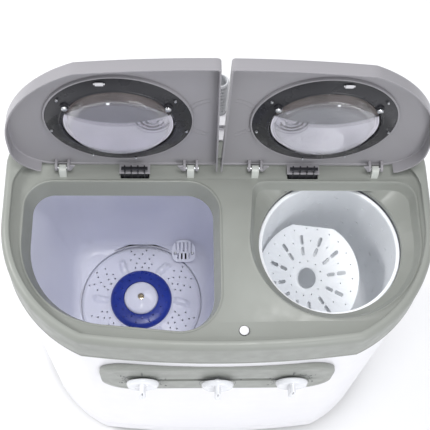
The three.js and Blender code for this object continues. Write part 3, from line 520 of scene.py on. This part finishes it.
# ---------------------------------------------------------------- lids
def lid_outline(offset, inset, back, mirror):
    """One lid's plan, closed: straight at the middle, then the machine's own end."""
    side_x = HALF_WIDTH - SIDE_RADIUS
    side, front = SIDE_RADIUS + offset, FRONT_RADIUS + offset
    facet = facet_angle(side, front)
    facet_x = side_x + side * math.cos(math.radians(facet))
    back_radius = 60 + offset
    cx, cy = HALF_WIDTH + offset - back_radius, back - back_radius
    centre_y = FRONT_Y + FRONT_RADIUS
    inner_front = 6 + inset
    bottom = centre_y - math.sqrt(front ** 2 - inner_front ** 2)
    half = math.degrees(math.asin(facet_x / front))
    begin = math.degrees(math.asin(inner_front / front))
    rounded = 3
    inner_back = 2 + inset
    points = [(inner_back + 0.2, back - rounded), (inner_back + 0.9, back - 0.9),
              (inner_back + rounded, back)]
    points += arc(cx, cy, back_radius, 90, 0, 12)
    points += arc(side_x, SIDE_CENTRE_Y, side, 0, facet, 30)
    points += arc(0, centre_y, front, 270 + half, 270 + begin, 20)[1:-1]
    points += [(inner_front + rounded, bottom), (inner_front + 0.9, bottom + 0.9),
               (inner_front, bottom + rounded)]
    return [(x * mirror, y) for x, y in points]


def lid(side):
    mirror = -1 if side == "wash" else 1
    body = f"{side}_lid"
    px, py = PORTHOLE[0] * mirror, PORTHOLE[1]
    shell = Shell()
    rings = [shell.ring(lid_outline(o, i, b, mirror), z) for o, i, b, z in (
        (-6.3, 2.5, 3, 6.5), (-5, 2.2, 3.6, 5.4), (-4.9, 2.2, 3.6, -9.6), (-4.5, 1.8, 4, -10.1),
        (-2.9, 0.4, 5.8, -10.1), (-2.5, 0, 6, -9.6), (-2.5, 0, 6, 4.6), (-3, 0.4, 5.6, 6.6),
        (-4.4, 1.4, 4.6, 8.2), (-6.8, 3.2, 3, 9))]
    shell.skin(*rings)
    hole = [shell.ring(circle(px, py, PORTHOLE_R - 8, 120), z) for z in (6.5, 9)]
    shell.skin(*hole)
    shell.sheet(rings[0], hole[0])
    shell.sheet(rings[-1], hole[1])
    panel = shell.build(f"{side}_lid_panel", LID_OPEN)
    left, right = TONGUES[side]
    for low, high in (((-300, -1, -12), (left - 3, 10, 5)), ((right + 3, -1, -12), (300, 10, 5))):
        gap = Shell()
        gap.box(low, high)
        combine(panel, "DIFFERENCE", gap.build("gap", LID_OPEN))
    piece(panel, f"{side}_lid_panel", "smoke", body, [f"{side}_lid"], sharp=28)
    lugs(side, body)
    tongue_ribs(side, body, left, right)
    bezel = Shell()
    bezel.lathe([(75.4, -2.2), (78, -1.6), (92.2, 2.4), (93.4, 3.2), (94.4, 3.2), (95, 4), (95, 6.3),
                 (86.6, 6.3), (86.6, 10.6), (86, 11.1), (84.4, 11.1), (83.4, 6.5), (73, 1.4),
                 (72, 0.6), (72, -2.4), (72.6, -3), (74, -3), (74.8, -2.7)], 144, (px, py))
    piece(bezel, f"{side}_porthole_ring", "charcoal", body, [f"{side}_porthole_bezel"], LID_OPEN,
          sharp=24)
    lip = Shell()
    lip.lathe([(93.6, 2.7), (94.5, 2.3), (95.6, 2.6), (96.2, 3.6), (96.2, 6.4), (93.6, 6.4)], 144,
              (px, py))
    piece(lip, f"{side}_porthole_lip", "smoke", body, place=LID_OPEN)
    window = Shell()
    window.lathe([(0, -11), (30, -10.9), (57, -10.2), (61, -9.6), (63.4, -8), (67, -3), (71.6, 2.6),
                  (71.4, 3.2), (68, 3.2), (64.6, -1.4), (61.6, -6), (59.6, -7.2), (56, -7.7),
                  (30, -8.3), (0, -8.4)], 144, (px, py))
    piece(window, f"{side}_window_bowl", "clear", body, [f"{side}_window"], LID_OPEN, sharp=60)
    pane = Shell()
    pane.lathe([(0, 8.6), (83.2, 8.6), (83.2, 9.4), (80, 10.6), (60, 10.9), (0, 11)], 96, (px, py))
    piece(pane, f"{side}_porthole_pane", "smoke", body, place=LID_OPEN)
    painted_window_reflections_and_shade(side, body, px, py)
    ripples(side, body)
    trim(side, body, px, py)


def lugs(side, body):
    """Two lugs on each hinge pin, one of them with a gusset towards the middle of the lid."""
    thick, clear = 3.6, 6.7
    for number, post in enumerate(POSTS[side]):
        inward = 1 if number == 0 else -1
        for label, hand in (("a", -1), ("b", 1)):
            lug = Shell()
            x0 = post + clear if hand > 0 else post - clear - thick
            across = Matrix(((0, 0, 1, x0), (1, 0, 0, 0), (0, 1, 0, 0), (0, 0, 0, 1)))
            lug.prism([(-2, -7), (2, -7.6), (5.5, -5), (5.5, 2), (3, 6.4), (-6, 6.4), (-6, -1)], 0,
                      thick, across)
            if hand == inward:
                edge = post + hand * (clear + thick)
                lug.prism([(edge, 5), (edge, -10), (edge + hand * 8, -10), (edge + hand * 6, -7)],
                          -7, -4.6)
            piece(lug, f"{side}_lid_lug_{number}{label}", "smoke", body, place=LID_OPEN, bevel=0.5)


def tongue_ribs(side, body, left, right, count=4):
    ribs = Shell()
    for i in range(count):
        x = left + (right - left) * (i + 0.5) / count
        ribs.box((x - 1, -6, -9.9), (x + 1, 3.7, -3))
        ribs.box((x - 1, 4, -11.2), (x + 1, 24, -9.9))
    ribs.box((left, -6, -9.9), (right, -4.6, -5))
    piece(ribs, f"{side}_lid_tongue_ribs", "charcoal", body, place=LID_OPEN, bevel=0.3)


def painted_window_reflections_and_shade(side, body, px, py):
    """Painted reflections and painted shade behind one window: a pale painted reflection of the white
    tub, a grey painted reflection, a brown band of painted shade at the top, and raised rings painted
    as the pulsator's reflection, beside the machine's middle.
    """
    toward = 1 if side == "wash" else -1

    def strip(label, kind, outline, z0, z1):
        part = Shell()
        part.prism([(px + x, py - y) for x, y in outline], z0, z1)
        piece(part, f"{side}_window_{label}", kind, body, place=LID_OPEN)
    lower = [(x, 1.5 + 18 * (x / 62) ** 2) for x in range(60, -61, -10)]
    upper = [(x, 48 - 25 * (x / 62) ** 2) for x in range(60, -61, -10)]
    # pale painted reflection of the white tub below, grey painted reflection of the window's flat
    # bottom, brown band of painted shade at the top
    strip("painted_tub_reflection", "pale", arc(0, 0, 69.5, 163, 377, 60) + lower, -1.2, 0.4)
    strip("painted_grey_reflection", "lens", [(64.5, 20.8)] + upper + [(-64.5, 20.8)] + lower[::-1], -1, 0.4)
    strip("painted_shade_band", "shade", arc(0, 0, 69.5, 19, 161, 50) + upper[::-1], -0.4, 0.8)
    # thin rings painted as the pulsator's rings reflected in the window
    for number, (radius, width) in enumerate(((9, 2.4), (15, 1.6), (21.5, 1.3))):
        spread = arc(0, 0, radius, 186, 354, 24) + arc(0, 0, radius - width, 354, 186, 24)
        strip(f"ring_{number}", "shade" if number == 1 else "lens",
              [(toward * 43 + x, 9 + y) for x, y in spread], -2.8, -1.1)


def ripples(side, body):
    """Two faint raised arcs on the underside, centred on the gap between the lids."""
    flip = -1 if side == "wash" else 1
    marks = Shell()
    for radius in (38, 45):
        outline = arc(0, 0, radius, -76, 76, 40) + arc(0, 0, radius - 0.7, 76, -76, 40)
        marks.prism([(flip * (x + 6), -112 + y) for x, y in outline], 6.1, 6.6)
    piece(marks, f"{side}_lid_ripples", "smoke", body, place=LID_OPEN)


def trim(side, body, px, py):
    """Screws, clips and retaining nubs of one porthole."""
    flip = -1 if side == "wash" else 1

    def spot(radius, angle, z):
        """A frame on the ring whose Z points down, into the machine when the lid is shut."""
        a = math.radians(angle)
        place = Matrix.Translation((px + flip * radius * math.cos(a), py - radius * math.sin(a), z))
        return place @ Matrix.Rotation(math.pi, 4, "X")
    for number, angle in enumerate((33, 147)):
        screw = Shell()
        screw.lathe([(0, -2), (5.6, -2), (5.6, 3.4), (5.2, 4), (3.6, 4.2), (3.2, 6), (0, 6)], 28)
        screw.turn(spot(76, angle, -0.5))
        piece(screw, f"{side}_ring_boss_{number}", "charcoal", body, place=LID_OPEN)
        head = Shell()
        head.lathe([(0, 5.4), (4, 5.4), (4.2, 6.2), (3.7, 7.4), (2.4, 8.1), (0, 8.4)], 28)
        head.turn(spot(76, angle, -0.5))
        head = head.build("head", LID_OPEN)
        cross = Shell()
        cross.box((-2.2, -0.45, 7.4), (2.2, 0.45, 9.5))
        cross.turn(spot(76, angle, -0.5))
        combine(head, "DIFFERENCE", cross.build("cross", LID_OPEN))
        piece(head, f"{side}_ring_screw_{number}", "steel", body)
    clip = Shell()
    clip.box((-5, -3.4, 0), (5, 3.4, 2.6))
    clip.box((-7, -1.4, 0), (-5.2, 1.4, 1.8))
    clip.box((5.2, -1.4, 0), (7, 1.4, 1.8))
    clip.turn(spot(88, 78, 0.6) @ Matrix.Rotation(math.radians(18), 4, "X"))
    clip.box((-2, -1.6, 0), (2, 1.6, 1.6), spot(59, 81, -9.2))
    piece(clip, f"{side}_ring_clip", "white", body, place=LID_OPEN, bevel=0.5)
    nubs = Shell()
    for angle in (192, 258, 296, 348, 35, 145):
        nubs.lathe([(0, -1), (1.9, -1), (1.8, 1.2), (1.2, 1.9), (0, 2)], 16,
                   turn=spot(88.5, angle, -0.5))
    piece(nubs, f"{side}_ring_nubs", "steel", body, place=LID_OPEN)


# ---------------------------------------------------------------- wash tub and pulsator
def wash_tub():
    body = Shell()

    def rings(levels):
        made = [body.ring(tub_outline(share, grow, tuck), z) for share, grow, tuck, z in levels]
        body.skin(*made)
        return made
    inner = rings([(0, 0, 0, -15.3), (0.2, 0, 0, -78), (0.5, 0, 0, -175), (0.8, 0, 0, -270),
                   (0.93, 0, 0, -318), (0.97, 0, 1.5, -332), (1, 0, 5, -342), (1, 0, 11, -347.6),
                   (1, 0, 20, TUB_FLOOR)])
    outer = rings([(0, WALL, 0, -15.3), (0.95, WALL, 0, -331), (1, WALL, 7, -346),
                   (1, WALL, 22, -353)])
    body.skin(inner[0], outer[0])
    body.sheet(inner[-1])
    body.sheet(outer[-1])
    tub = body.build("wash_tub_moulding")
    boss = Shell()
    boss.lathe([(0, -361), (104, -361), (104, -351.5), (0, -351.5)], 96, PULSATOR)
    combine(tub, "UNION", boss.build("boss"))
    well = Shell()
    well.lathe([(0, -358), (98.5, -358), (100.6, -357.2), (101.5, -355), (101.5, -351), (102, -350.3),
                (103.4, -349.8), (103.4, -340), (0, -340)], 96, PULSATOR)
    combine(tub, "DIFFERENCE", well.build("well"))
    hole = Shell()
    hole.lathe([(0, -370), (12, -370), (12, -340), (0, -340)], 32, PULSATOR)
    hole.lathe([(0, -370), (9, -370), (9, -336), (0, -336)], 32, (-47, 12))
    combine(tub, "DIFFERENCE", hole.build("hole"))
    piece(tub, "wash_tub_moulding", "tub", stands_for=["wash_tub"])


def smooth(low, high, value):
    t = min(1, max(0, (value - low) / (high - low)))
    return t * t * (3 - 2 * t)


def pulsator_height(radius, angle):
    """Top of the pulsator: a shallow cone with six soft vanes."""
    cone = 5 * smooth(96, 54, radius) + 7 * smooth(56, 47, radius)
    base = -350.4 + cone - 2.2 * smooth(96, 99.5, radius)
    near = (angle + math.pi / 6) % (math.pi / 3) - math.pi / 6
    across = abs(radius * math.sin(near + 0.10 * smooth(50, 95, radius)))
    vane = smooth(7.5, 2.5, across) * smooth(50, 62, radius) * (1 - smooth(74, 83, radius))
    return base + 7 * vane


def pulsator():
    radii = [26, 30, 45, 48, 50, 52, 54, *range(57, 91, 3), 92, 94, 96, 98, 99.4]
    disc = Shell()
    rings = [disc.ring(circle(*PULSATOR, 26, 288), -356)]
    for radius in radii:
        rings.append(disc.ring([(PULSATOR[0] + radius * math.cos(math.tau * i / 288),
                                 PULSATOR[1] + radius * math.sin(math.tau * i / 288),
                                 pulsator_height(radius, math.tau * i / 288)) for i in range(288)]))
    rings += [disc.ring(circle(*PULSATOR, 99.5, 288), -353.4),
              disc.ring(circle(*PULSATOR, 98, 288), -356)]
    disc.skin(*rings, rings[0])
    body = disc.build("pulsator_disc")
    holes = Shell()
    for sector in range(6):
        for radius, angles in ((60, (-11, 0, 11)), (68, (-14, -4, 8)), (77, (-9, 4, 15)),
                               (86, (-13, 0, 9)), (93, (-4, 12))):
            for angle in angles:
                a = math.radians(sector * 60 + 30 + angle)
                centre = (PULSATOR[0] + radius * math.cos(a), PULSATOR[1] + radius * math.sin(a))
                holes.lathe([(0, -360), (1.5, -360), (1.5, -335), (0, -335)], 10, centre)
    combine(body, "DIFFERENCE", holes.build("holes"))
    piece(body, "pulsator_disc", "tub", "pulsator", ["pulsator"], sharp=40)
    under = Shell()
    under.lathe([(28, -357.6), (97, -357.6), (97, -356.4), (28, -356.4)], 64, PULSATOR)
    piece(under, "pulsator_shadow_plate", "dark", "pulsator")
    ring = Shell()
    ring.lathe([(28.6, -340.5), (51, -340.5), (51.2, -339), (50.4, -336), (47.6, -332.8), (44, -331.2),
                (33, -330), (29.6, -330.2), (28.6, -331)], 128, PULSATOR)
    band = ring.build("blue_ring")
    dots = Shell()
    for i in range(24):
        radius = (36, 43.5)[i % 2]
        a = math.radians(i * 15 + 4)
        dots.lathe([(0, -334), (1.3, -334), (1.3, -325), (0, -325)], 10,
                   (PULSATOR[0] + radius * math.cos(a), PULSATOR[1] + radius * math.sin(a)))
    combine(band, "DIFFERENCE", dots.build("dots"))
    piece(band, "pulsator_blue_ring", "blue", "pulsator", ["pulsator_ring"])
    hub = Shell()
    hub_rings = []
    for radius, z, lobe in ((27.8, -335.4, 0), (27.9, -331, 0), (27, -328.6, 0.2), (24.6, -326.4, 0.7),
                            (20, -324.6, 1.2), (14, -323.2, 1.2), (8.6, -322.4, 0.5), (5.6, -322.4, 0),
                            (5.2, -325.5, 0)):
        hub_rings.append(hub.ring([
            (PULSATOR[0] + radius * math.cos(math.tau * i / 96),
             PULSATOR[1] + radius * math.sin(math.tau * i / 96),
             z - lobe * math.cos(3 * math.tau * i / 96 + radius * 0.09)) for i in range(96)]))
    hub.skin(*hub_rings)
    hub.faces += [tuple(hub_rings[0]), tuple(hub_rings[-1])]
    piece(hub, "pulsator_hub_cap", "tub", "pulsator", ["pulsator_cap"])
    screw = Shell()
    screw.lathe([(0, -325), (4.9, -325), (4.9, -323.6), (3.2, -323.2), (3, -321.8), (2.2, -321.2),
                 (1.2, -321.2), (1.1, -322.6), (0, -322.6)], 32, PULSATOR)
    piece(screw, "pulsator_hub_screw", "brass", "pulsator")


def grille_screws():
    screws = Shell()
    tilt = Matrix.Translation((-47, 15, -335)) @ Matrix.Rotation(math.radians(24), 4, "X")
    for x in (-14.5, 14.5):
        screws.lathe([(0, 3.6), (2.7, 3.6), (2.7, 4.4), (1.8, 5.1), (0, 5.3)], 20,
                     turn=tilt @ Matrix.Translation((x, -4, 0)))
    piece(screws, "drain_grille_screws", "steel")


# ---------------------------------------------------------------- spin side
def spin_basket():
    basket = Shell()
    basket.lathe([(0, -288), (88, -288), (93, -284), (96, -279), (97, -272), (97, -49),
                  (98.9, -47.6), (98.9, -45), (98, -44.1), (95.2, -43.9), (94, -44.5), (93.5, -46),
                  (93.5, -51), (94.4, -56), (94.4, -262), (92.6, -268), (88, -273), (84, -275),
                  (38, -275), (32, -273.6), (26, -269), (20, -264), (0, -262)], 144, SPIN)
    body = basket.build("basket")
    holes = Shell()
    for row in range(8):
        for column in range(14):
            a = math.tau * (column + (row % 2) / 2) / 14
            place = (Matrix.Translation((*SPIN, -78 - row * 24)) @ Matrix.Rotation(a, 4, "Z")
                     @ Matrix.Rotation(math.pi / 2, 4, "Y"))
            outline = [(y, x) for x, y in stadium(-2.8, 2.8, 0.9, 3)]
            holes.prism(outline, 90, 100, place)
    combine(body, "DIFFERENCE", holes.build("holes"))
    piece(body, "basket_moulding", "basket", "spin_basket", ["spin_basket"], sharp=35)


def pressing_disc():
    normal = Vector((-0.561, -0.262, 0.785)).normalized()
    toward = Vector((0.36, 0.93, 0))
    chord = (toward - normal * toward.dot(normal)).normalized()
    side = normal.cross(chord)
    place = Matrix((chord, side, normal)).transposed().to_4x4()
    place.translation = (134.3, -106, -143)
    disc = Shell()
    disc.lathe([(15.4, -2), (82.6, -2), (83.6, -1.2), (84, 0), (83.6, 1.4), (82.4, 2), (31, 2.2),
                (28, 3), (19, 3.2), (16.4, 2.6), (15.4, 1.6)], 144, turn=place)
    body = disc.build("disc")
    cuts = Shell()
    for i in range(12):
        turn = place @ Matrix.Rotation(math.radians(i * 30 + 15), 4, "Z")
        cuts.prism(stadium(34, 47.5, 2.7), -5, 6, turn)
        cuts.prism(stadium(50, 65, 2.9), -5, 6, turn)
        for angle, radius in ((15, 25.5), (15, 56), (8, 74), (22, 74)):
            hole = turn @ Matrix.Rotation(math.radians(angle), 4, "Z")
            cuts.lathe([(0, -5), (1.2, -5), (1.2, 6), (0, 6)], 10, (radius, 0), hole)
    cuts.box((77, -60, -8), (90, 60, 8), place)
    combine(body, "DIFFERENCE", cuts.build("cuts"))
    piece(body, "pressing_disc_plate", "basket", "pressing_disc", ["pressing_disc"], bevel=0.35)


# ---------------------------------------------------------------- cabinet, panel and back
def cabinet():
    body = Shell()
    outer = body.walls(skirt, [(7.5, -540), (9.4, -540), (10, -539.2), (10, -508), (9.2, -507),
                               (9.2, -505), (10, -504), (10, -30), (7.5, -30)])
    body.skin(outer[-1], outer[0])
    shell = body.build("cabinet_moulding")
    cuts = Shell()
    cuts.prism(filleted([(-230, -520, 8), (230, -520, 8), (230, -80, 8), (-230, -80, 8)], 6), -90, -50,
               Matrix.Rotation(math.pi / 2, 4, "X"))
    for x in KNOB_X.values():
        cuts.lathe([(0, 220), (6, 220), (6, 280), (0, 280)], 24,
                   turn=Matrix.Translation((x, 0, KNOB_Z)) @ Matrix.Rotation(math.pi / 2, 4, "X"))
    combine(shell, "DIFFERENCE", cuts.build("cuts"))
    piece(shell, "cabinet_moulding", "white", stands_for=["cabinet_shell"])


def panel_outline(grow):
    return filleted([(-165 - grow, -206 - grow, 34), (165 + grow, -206 - grow, 34),
                     (165 + grow, -92 + grow, 44), (-165 - grow, -92 + grow, 44)], 12)


def control_panel():
    body = Shell()
    rings = []
    for grow, offset in ((0, 10.4), (0, 15.6), (-0.8, 17.2), (-2.4, 18), (-9, 18.3), (-10, 17.9),
                         (-10.8, 17.9)):
        rings.append(body.ring([(x, front_y(x, offset), z) for x, z in panel_outline(grow)]))
    body.skin(*rings)
    body.sheet(rings[0])
    inner = []
    for step in range(1, 6):
        shrink = 1 - step / 6
        inner.append(body.ring([(x, front_y(x, 17.9), KNOB_Z + (z - KNOB_Z) * shrink)
                                for x, z in panel_outline(-10.8)]))
    body.skin(rings[-1], *inner)
    body.faces.append(tuple(inner[-1]))
    panel = body.build("control_panel_moulding")
    holes = Shell()
    for x in KNOB_X.values():
        holes.lathe([(0, 230), (6, 230), (6, 290), (0, 290)], 24,
                    turn=Matrix.Translation((x, 0, KNOB_Z)) @ Matrix.Rotation(math.pi / 2, 4, "X"))
    combine(panel, "DIFFERENCE", holes.build("holes"))
    piece(panel, "control_panel_moulding", "frame", stands_for=["control_panel"])


def on_panel(x, z, offset=PANEL_OFFSET):
    """A frame on the panel's face: local X to the right, Y up, Z outwards."""
    slope = math.asin(x / FRONT_RADIUS)
    return (Matrix.Translation((x, front_y(x, offset), z)) @ Matrix.Rotation(slope, 4, "Z")
            @ Matrix.Rotation(math.pi / 2, 4, "X"))


def dials():
    scales = {"wash_timer_knob": ("0", "3", "6", "9", "12", "15"),
              "drain_selector_knob": ("1", "2", "3"),
              "spin_timer_knob": ("0", "1", "2", "3", "4", "5")}
    sweeps = {"wash_timer_knob": 300, "drain_selector_knob": 120, "spin_timer_knob": 300}
    for name, x in KNOB_X.items():
        base = on_panel(x, KNOB_Z)
        marks = Shell()
        marks.lathe([(25.4, 0), (26, 0), (26, 0.16), (25.4, 0.16)], 96, turn=base)
        labels = scales[name]
        first = 90 if name != "drain_selector_knob" else 150
        ticks = (len(labels) - 1) * 3
        for i in range(ticks + 1):
            a = math.radians(first - sweeps[name] * i / ticks)
            reach, half = (31.6, 0.6) if i % 3 == 0 else (30, 0.4)
            marks.box((27.6, -half, 0), (reach, half, 0.2), base @ Matrix.Rotation(a, 4, "Z"))
        piece(marks, f"{name}_scale", "print")
        for i, label in enumerate(labels):
            a = math.radians(first - sweeps[name] * i / (len(labels) - 1))
            curve = bpy.data.curves.new(f"{name}_number_{i}", "FONT")
            curve.body, curve.size, curve.extrude = label, 7, 0.1
            curve.align_x = curve.align_y = "CENTER"
            text = bpy.data.objects.new("number", curve)
            bpy.context.scene.collection.objects.link(text)
            text.matrix_world = HERE @ base @ Matrix.Translation(
                (37 * math.cos(a), 37 * math.sin(a), 0.15))
            bpy.context.view_layer.update()
            depsgraph = bpy.context.evaluated_depsgraph_get()
            mesh = bpy.data.meshes.new_from_object(text.evaluated_get(depsgraph))
            mesh.transform(text.matrix_world)
            bpy.data.objects.remove(text)
            number = bpy.data.objects.new(f"{name}_number_{i}", mesh)
            bpy.context.scene.collection.objects.link(number)
            piece(number, number.name, "print")


def knobs():
    for name, x in KNOB_X.items():
        seat = front_y(max(0, abs(x) - 23), PANEL_OFFSET) - 1
        place = Matrix.Translation((x, seat, KNOB_Z)) @ Matrix.Rotation(math.pi / 2, 4, "X")
        skirt_part = Shell()
        profile = [(0, -6), (4, -6), (4, 0), (22.6, 0), (23, 1), (22.8, 2.6), (21.4, 5.4), (20.4, 6.8),
                   (18.6, 7.4), (15, 7), (0, 6.6)]
        skirt_part.lathe(profile, 96, turn=place)
        piece(skirt_part, f"{name}_skirt", "knob", name, [name])
        grip = Shell()
        levels = []
        for grow, z in ((0.6, 6), (0, 8), (-0.3, 17), (-0.8, 19), (-2, 19.8)):
            outline = stadium(-19.4 - grow, 19.4 + grow, 4.6 + grow, 10)
            waist = [(px, py * (0.72 + 0.28 * (abs(px) / 19.4) ** 2)) for px, py in outline]
            levels.append(grip.ring([(py, px) for px, py in waist], z))
        grip.skin(*levels)
        grip.faces += [tuple(levels[0]), tuple(levels[-1])]
        grip.turn(place)
        piece(grip, f"{name}_grip", "knob", name)
        pointer = Shell()
        pointer.box((-0.7, 7, 19.6), (0.7, 17.6, 20), place)
        piece(pointer, f"{name}_pointer", "print", name)


def rear_details():
    back = (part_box("rear_cover")[1].y - ORIGIN.y) / MM
    face = Matrix.Translation((0, back, 0)) @ Matrix.Rotation(-math.pi / 2, 4, "X")
    heads, crosses = Shell(), Shell()
    for x in (-228, -76, 76, 228):
        for z in (-78, -518):
            place = face @ Matrix.Translation((x, -z, 0))
            heads.lathe([(0, -0.5), (5.2, -0.5), (5.2, 0.4), (3.8, 0.8), (3.4, 2.2), (2, 3),
                         (0, 3.2)], 24, turn=place)
            crosses.box((-2, -0.4, 2.1), (2, 0.4, 4), place)
    body = heads.build("rear_cover_screws")
    combine(body, "DIFFERENCE", crosses.build("crosses"))
    piece(body, "rear_cover_screws", "steel")
    hoods = Shell()
    for row in range(9):
        for x in (60, 150):
            z = -400 - row * 12
            profile = [(0, 5), (2.6, 4.2), (3.6, 2.4), (3.2, 2.2), (2.2, 3.4), (0, 4)]
            near = hoods.ring([(x - 1, back + y, z + 1 + h) for y, h in profile])
            far = hoods.ring([(x + 71, back + y, z + 1 + h) for y, h in profile])
            hoods.skin(near, far)
            hoods.faces += [tuple(near), tuple(far)]
    piece(hoods, "rear_cover_louvre_hoods", "white")
    ribs = Shell()
    top, foot = -150, -420
    for x in (-205, -185, -165):
        levels = []
        for shrink, out in ((0, 0), (1, 1.6), (2.4, 2.2)):
            half, y = 4 - shrink, back + out
            levels.append(ribs.ring([(x - half, y, top - shrink), (x + half, y, top - shrink),
                                     (x + half, y, foot + shrink), (x - half, y, foot + shrink)]))
        ribs.skin(*levels)
        ribs.faces += [tuple(levels[0]), tuple(levels[-1])]
    piece(ribs, "rear_cover_ribs", "white", bevel=0.4)


def drain_hose():
    """Corrugated hose along the CAD route: across the back, a quarter bend, then upright."""
    y, low_z, bend, top_z, start_x = 88, -480, 100, 92, -155.7
    sides, cuff, corrugation, bore_radius, bore_depth = 32, 14, 8.1, 8.8, 26
    straight = -bend - start_x
    quarter = bend * math.pi / 2
    total = straight + quarter + top_z - (low_z + bend)
    count = int(total / 1.35)

    def centre_and_direction(s):
        if s < straight:
            return Vector((start_x + s, y, low_z)), Vector((1, 0, 0))
        if s < straight + quarter:
            a = (s - straight) / bend
            centre = Vector((-bend + bend * math.sin(a), y, low_z + bend - bend * math.cos(a)))
            return centre, Vector((math.cos(a), 0, math.sin(a)))
        return Vector((0, y, low_z + bend + s - straight - quarter)), Vector((0, 0, 1))

    def circle_at(s, radius):
        centre, along = centre_and_direction(s)
        side = Vector((0, 1, 0))
        other = along.cross(side)
        angles = [math.tau * k / sides for k in range(sides)]
        return [tuple(centre + (side * math.cos(a) + other * math.sin(a)) * radius) for a in angles]
    hose = Shell()
    rings = []
    for i in range(count + 1):
        s = total * i / count
        wave = 9 + 2.9 * math.sqrt(abs(math.cos(math.pi * s / corrugation)))
        rings.append(hose.ring(circle_at(s, 11.4 if s < cuff else wave)))
    bore = [hose.ring(circle_at(s, bore_radius)) for s in (total, total - bore_depth)]
    hose.skin(*rings, *bore)
    hose.faces += [tuple(bore[-1]), tuple(rings[0])]
    piece(hose, "drain_hose_corrugated", "hose", stands_for=["drain_hose"], sharp=50)


# ---------------------------------------------------------------- the other CAD pieces
def dress_nodes():
    """Gives every CAD node that stays its material and soft edges."""
    slots = {part["node"]: part["material_slot"] for part in frame["record"]["subparts"]}
    by_slot = {slot: MAT[kind] for kind, slot in SLOTS.items() if kind not in VISUAL_ONLY}
    soft_edged = {"rear_cover", "base_tray", "drain_grille", "hose_holder", "hose_clip", "hose_elbow",
                   "wash_lid_tongue", "spin_lid_tongue", "power_cord_gland", "foot_front_left",
                   "foot_front_right", "foot_rear_left", "foot_rear_right", "capacitor",
                   "wash_timer", "spin_timer", "drain_selector_switch"}
    for name, obj in frame["nodes"].items():
        obj.data.materials.clear()
        obj.data.materials.append(by_slot[slots[name]])
        if name in soft_edged and not obj.hide_render:
            round_edges(obj, 0.6)


camera()
studio()
top_frame()
hinge_posts()
deck_plug()
lid("wash")
lid("spin")
wash_tub()
pulsator()
grille_screws()
spin_basket()
pressing_disc()
cabinet()
control_panel()
dials()
knobs()
rear_details()
drain_hose()
dress_nodes()

bpy.context.view_layer.update()
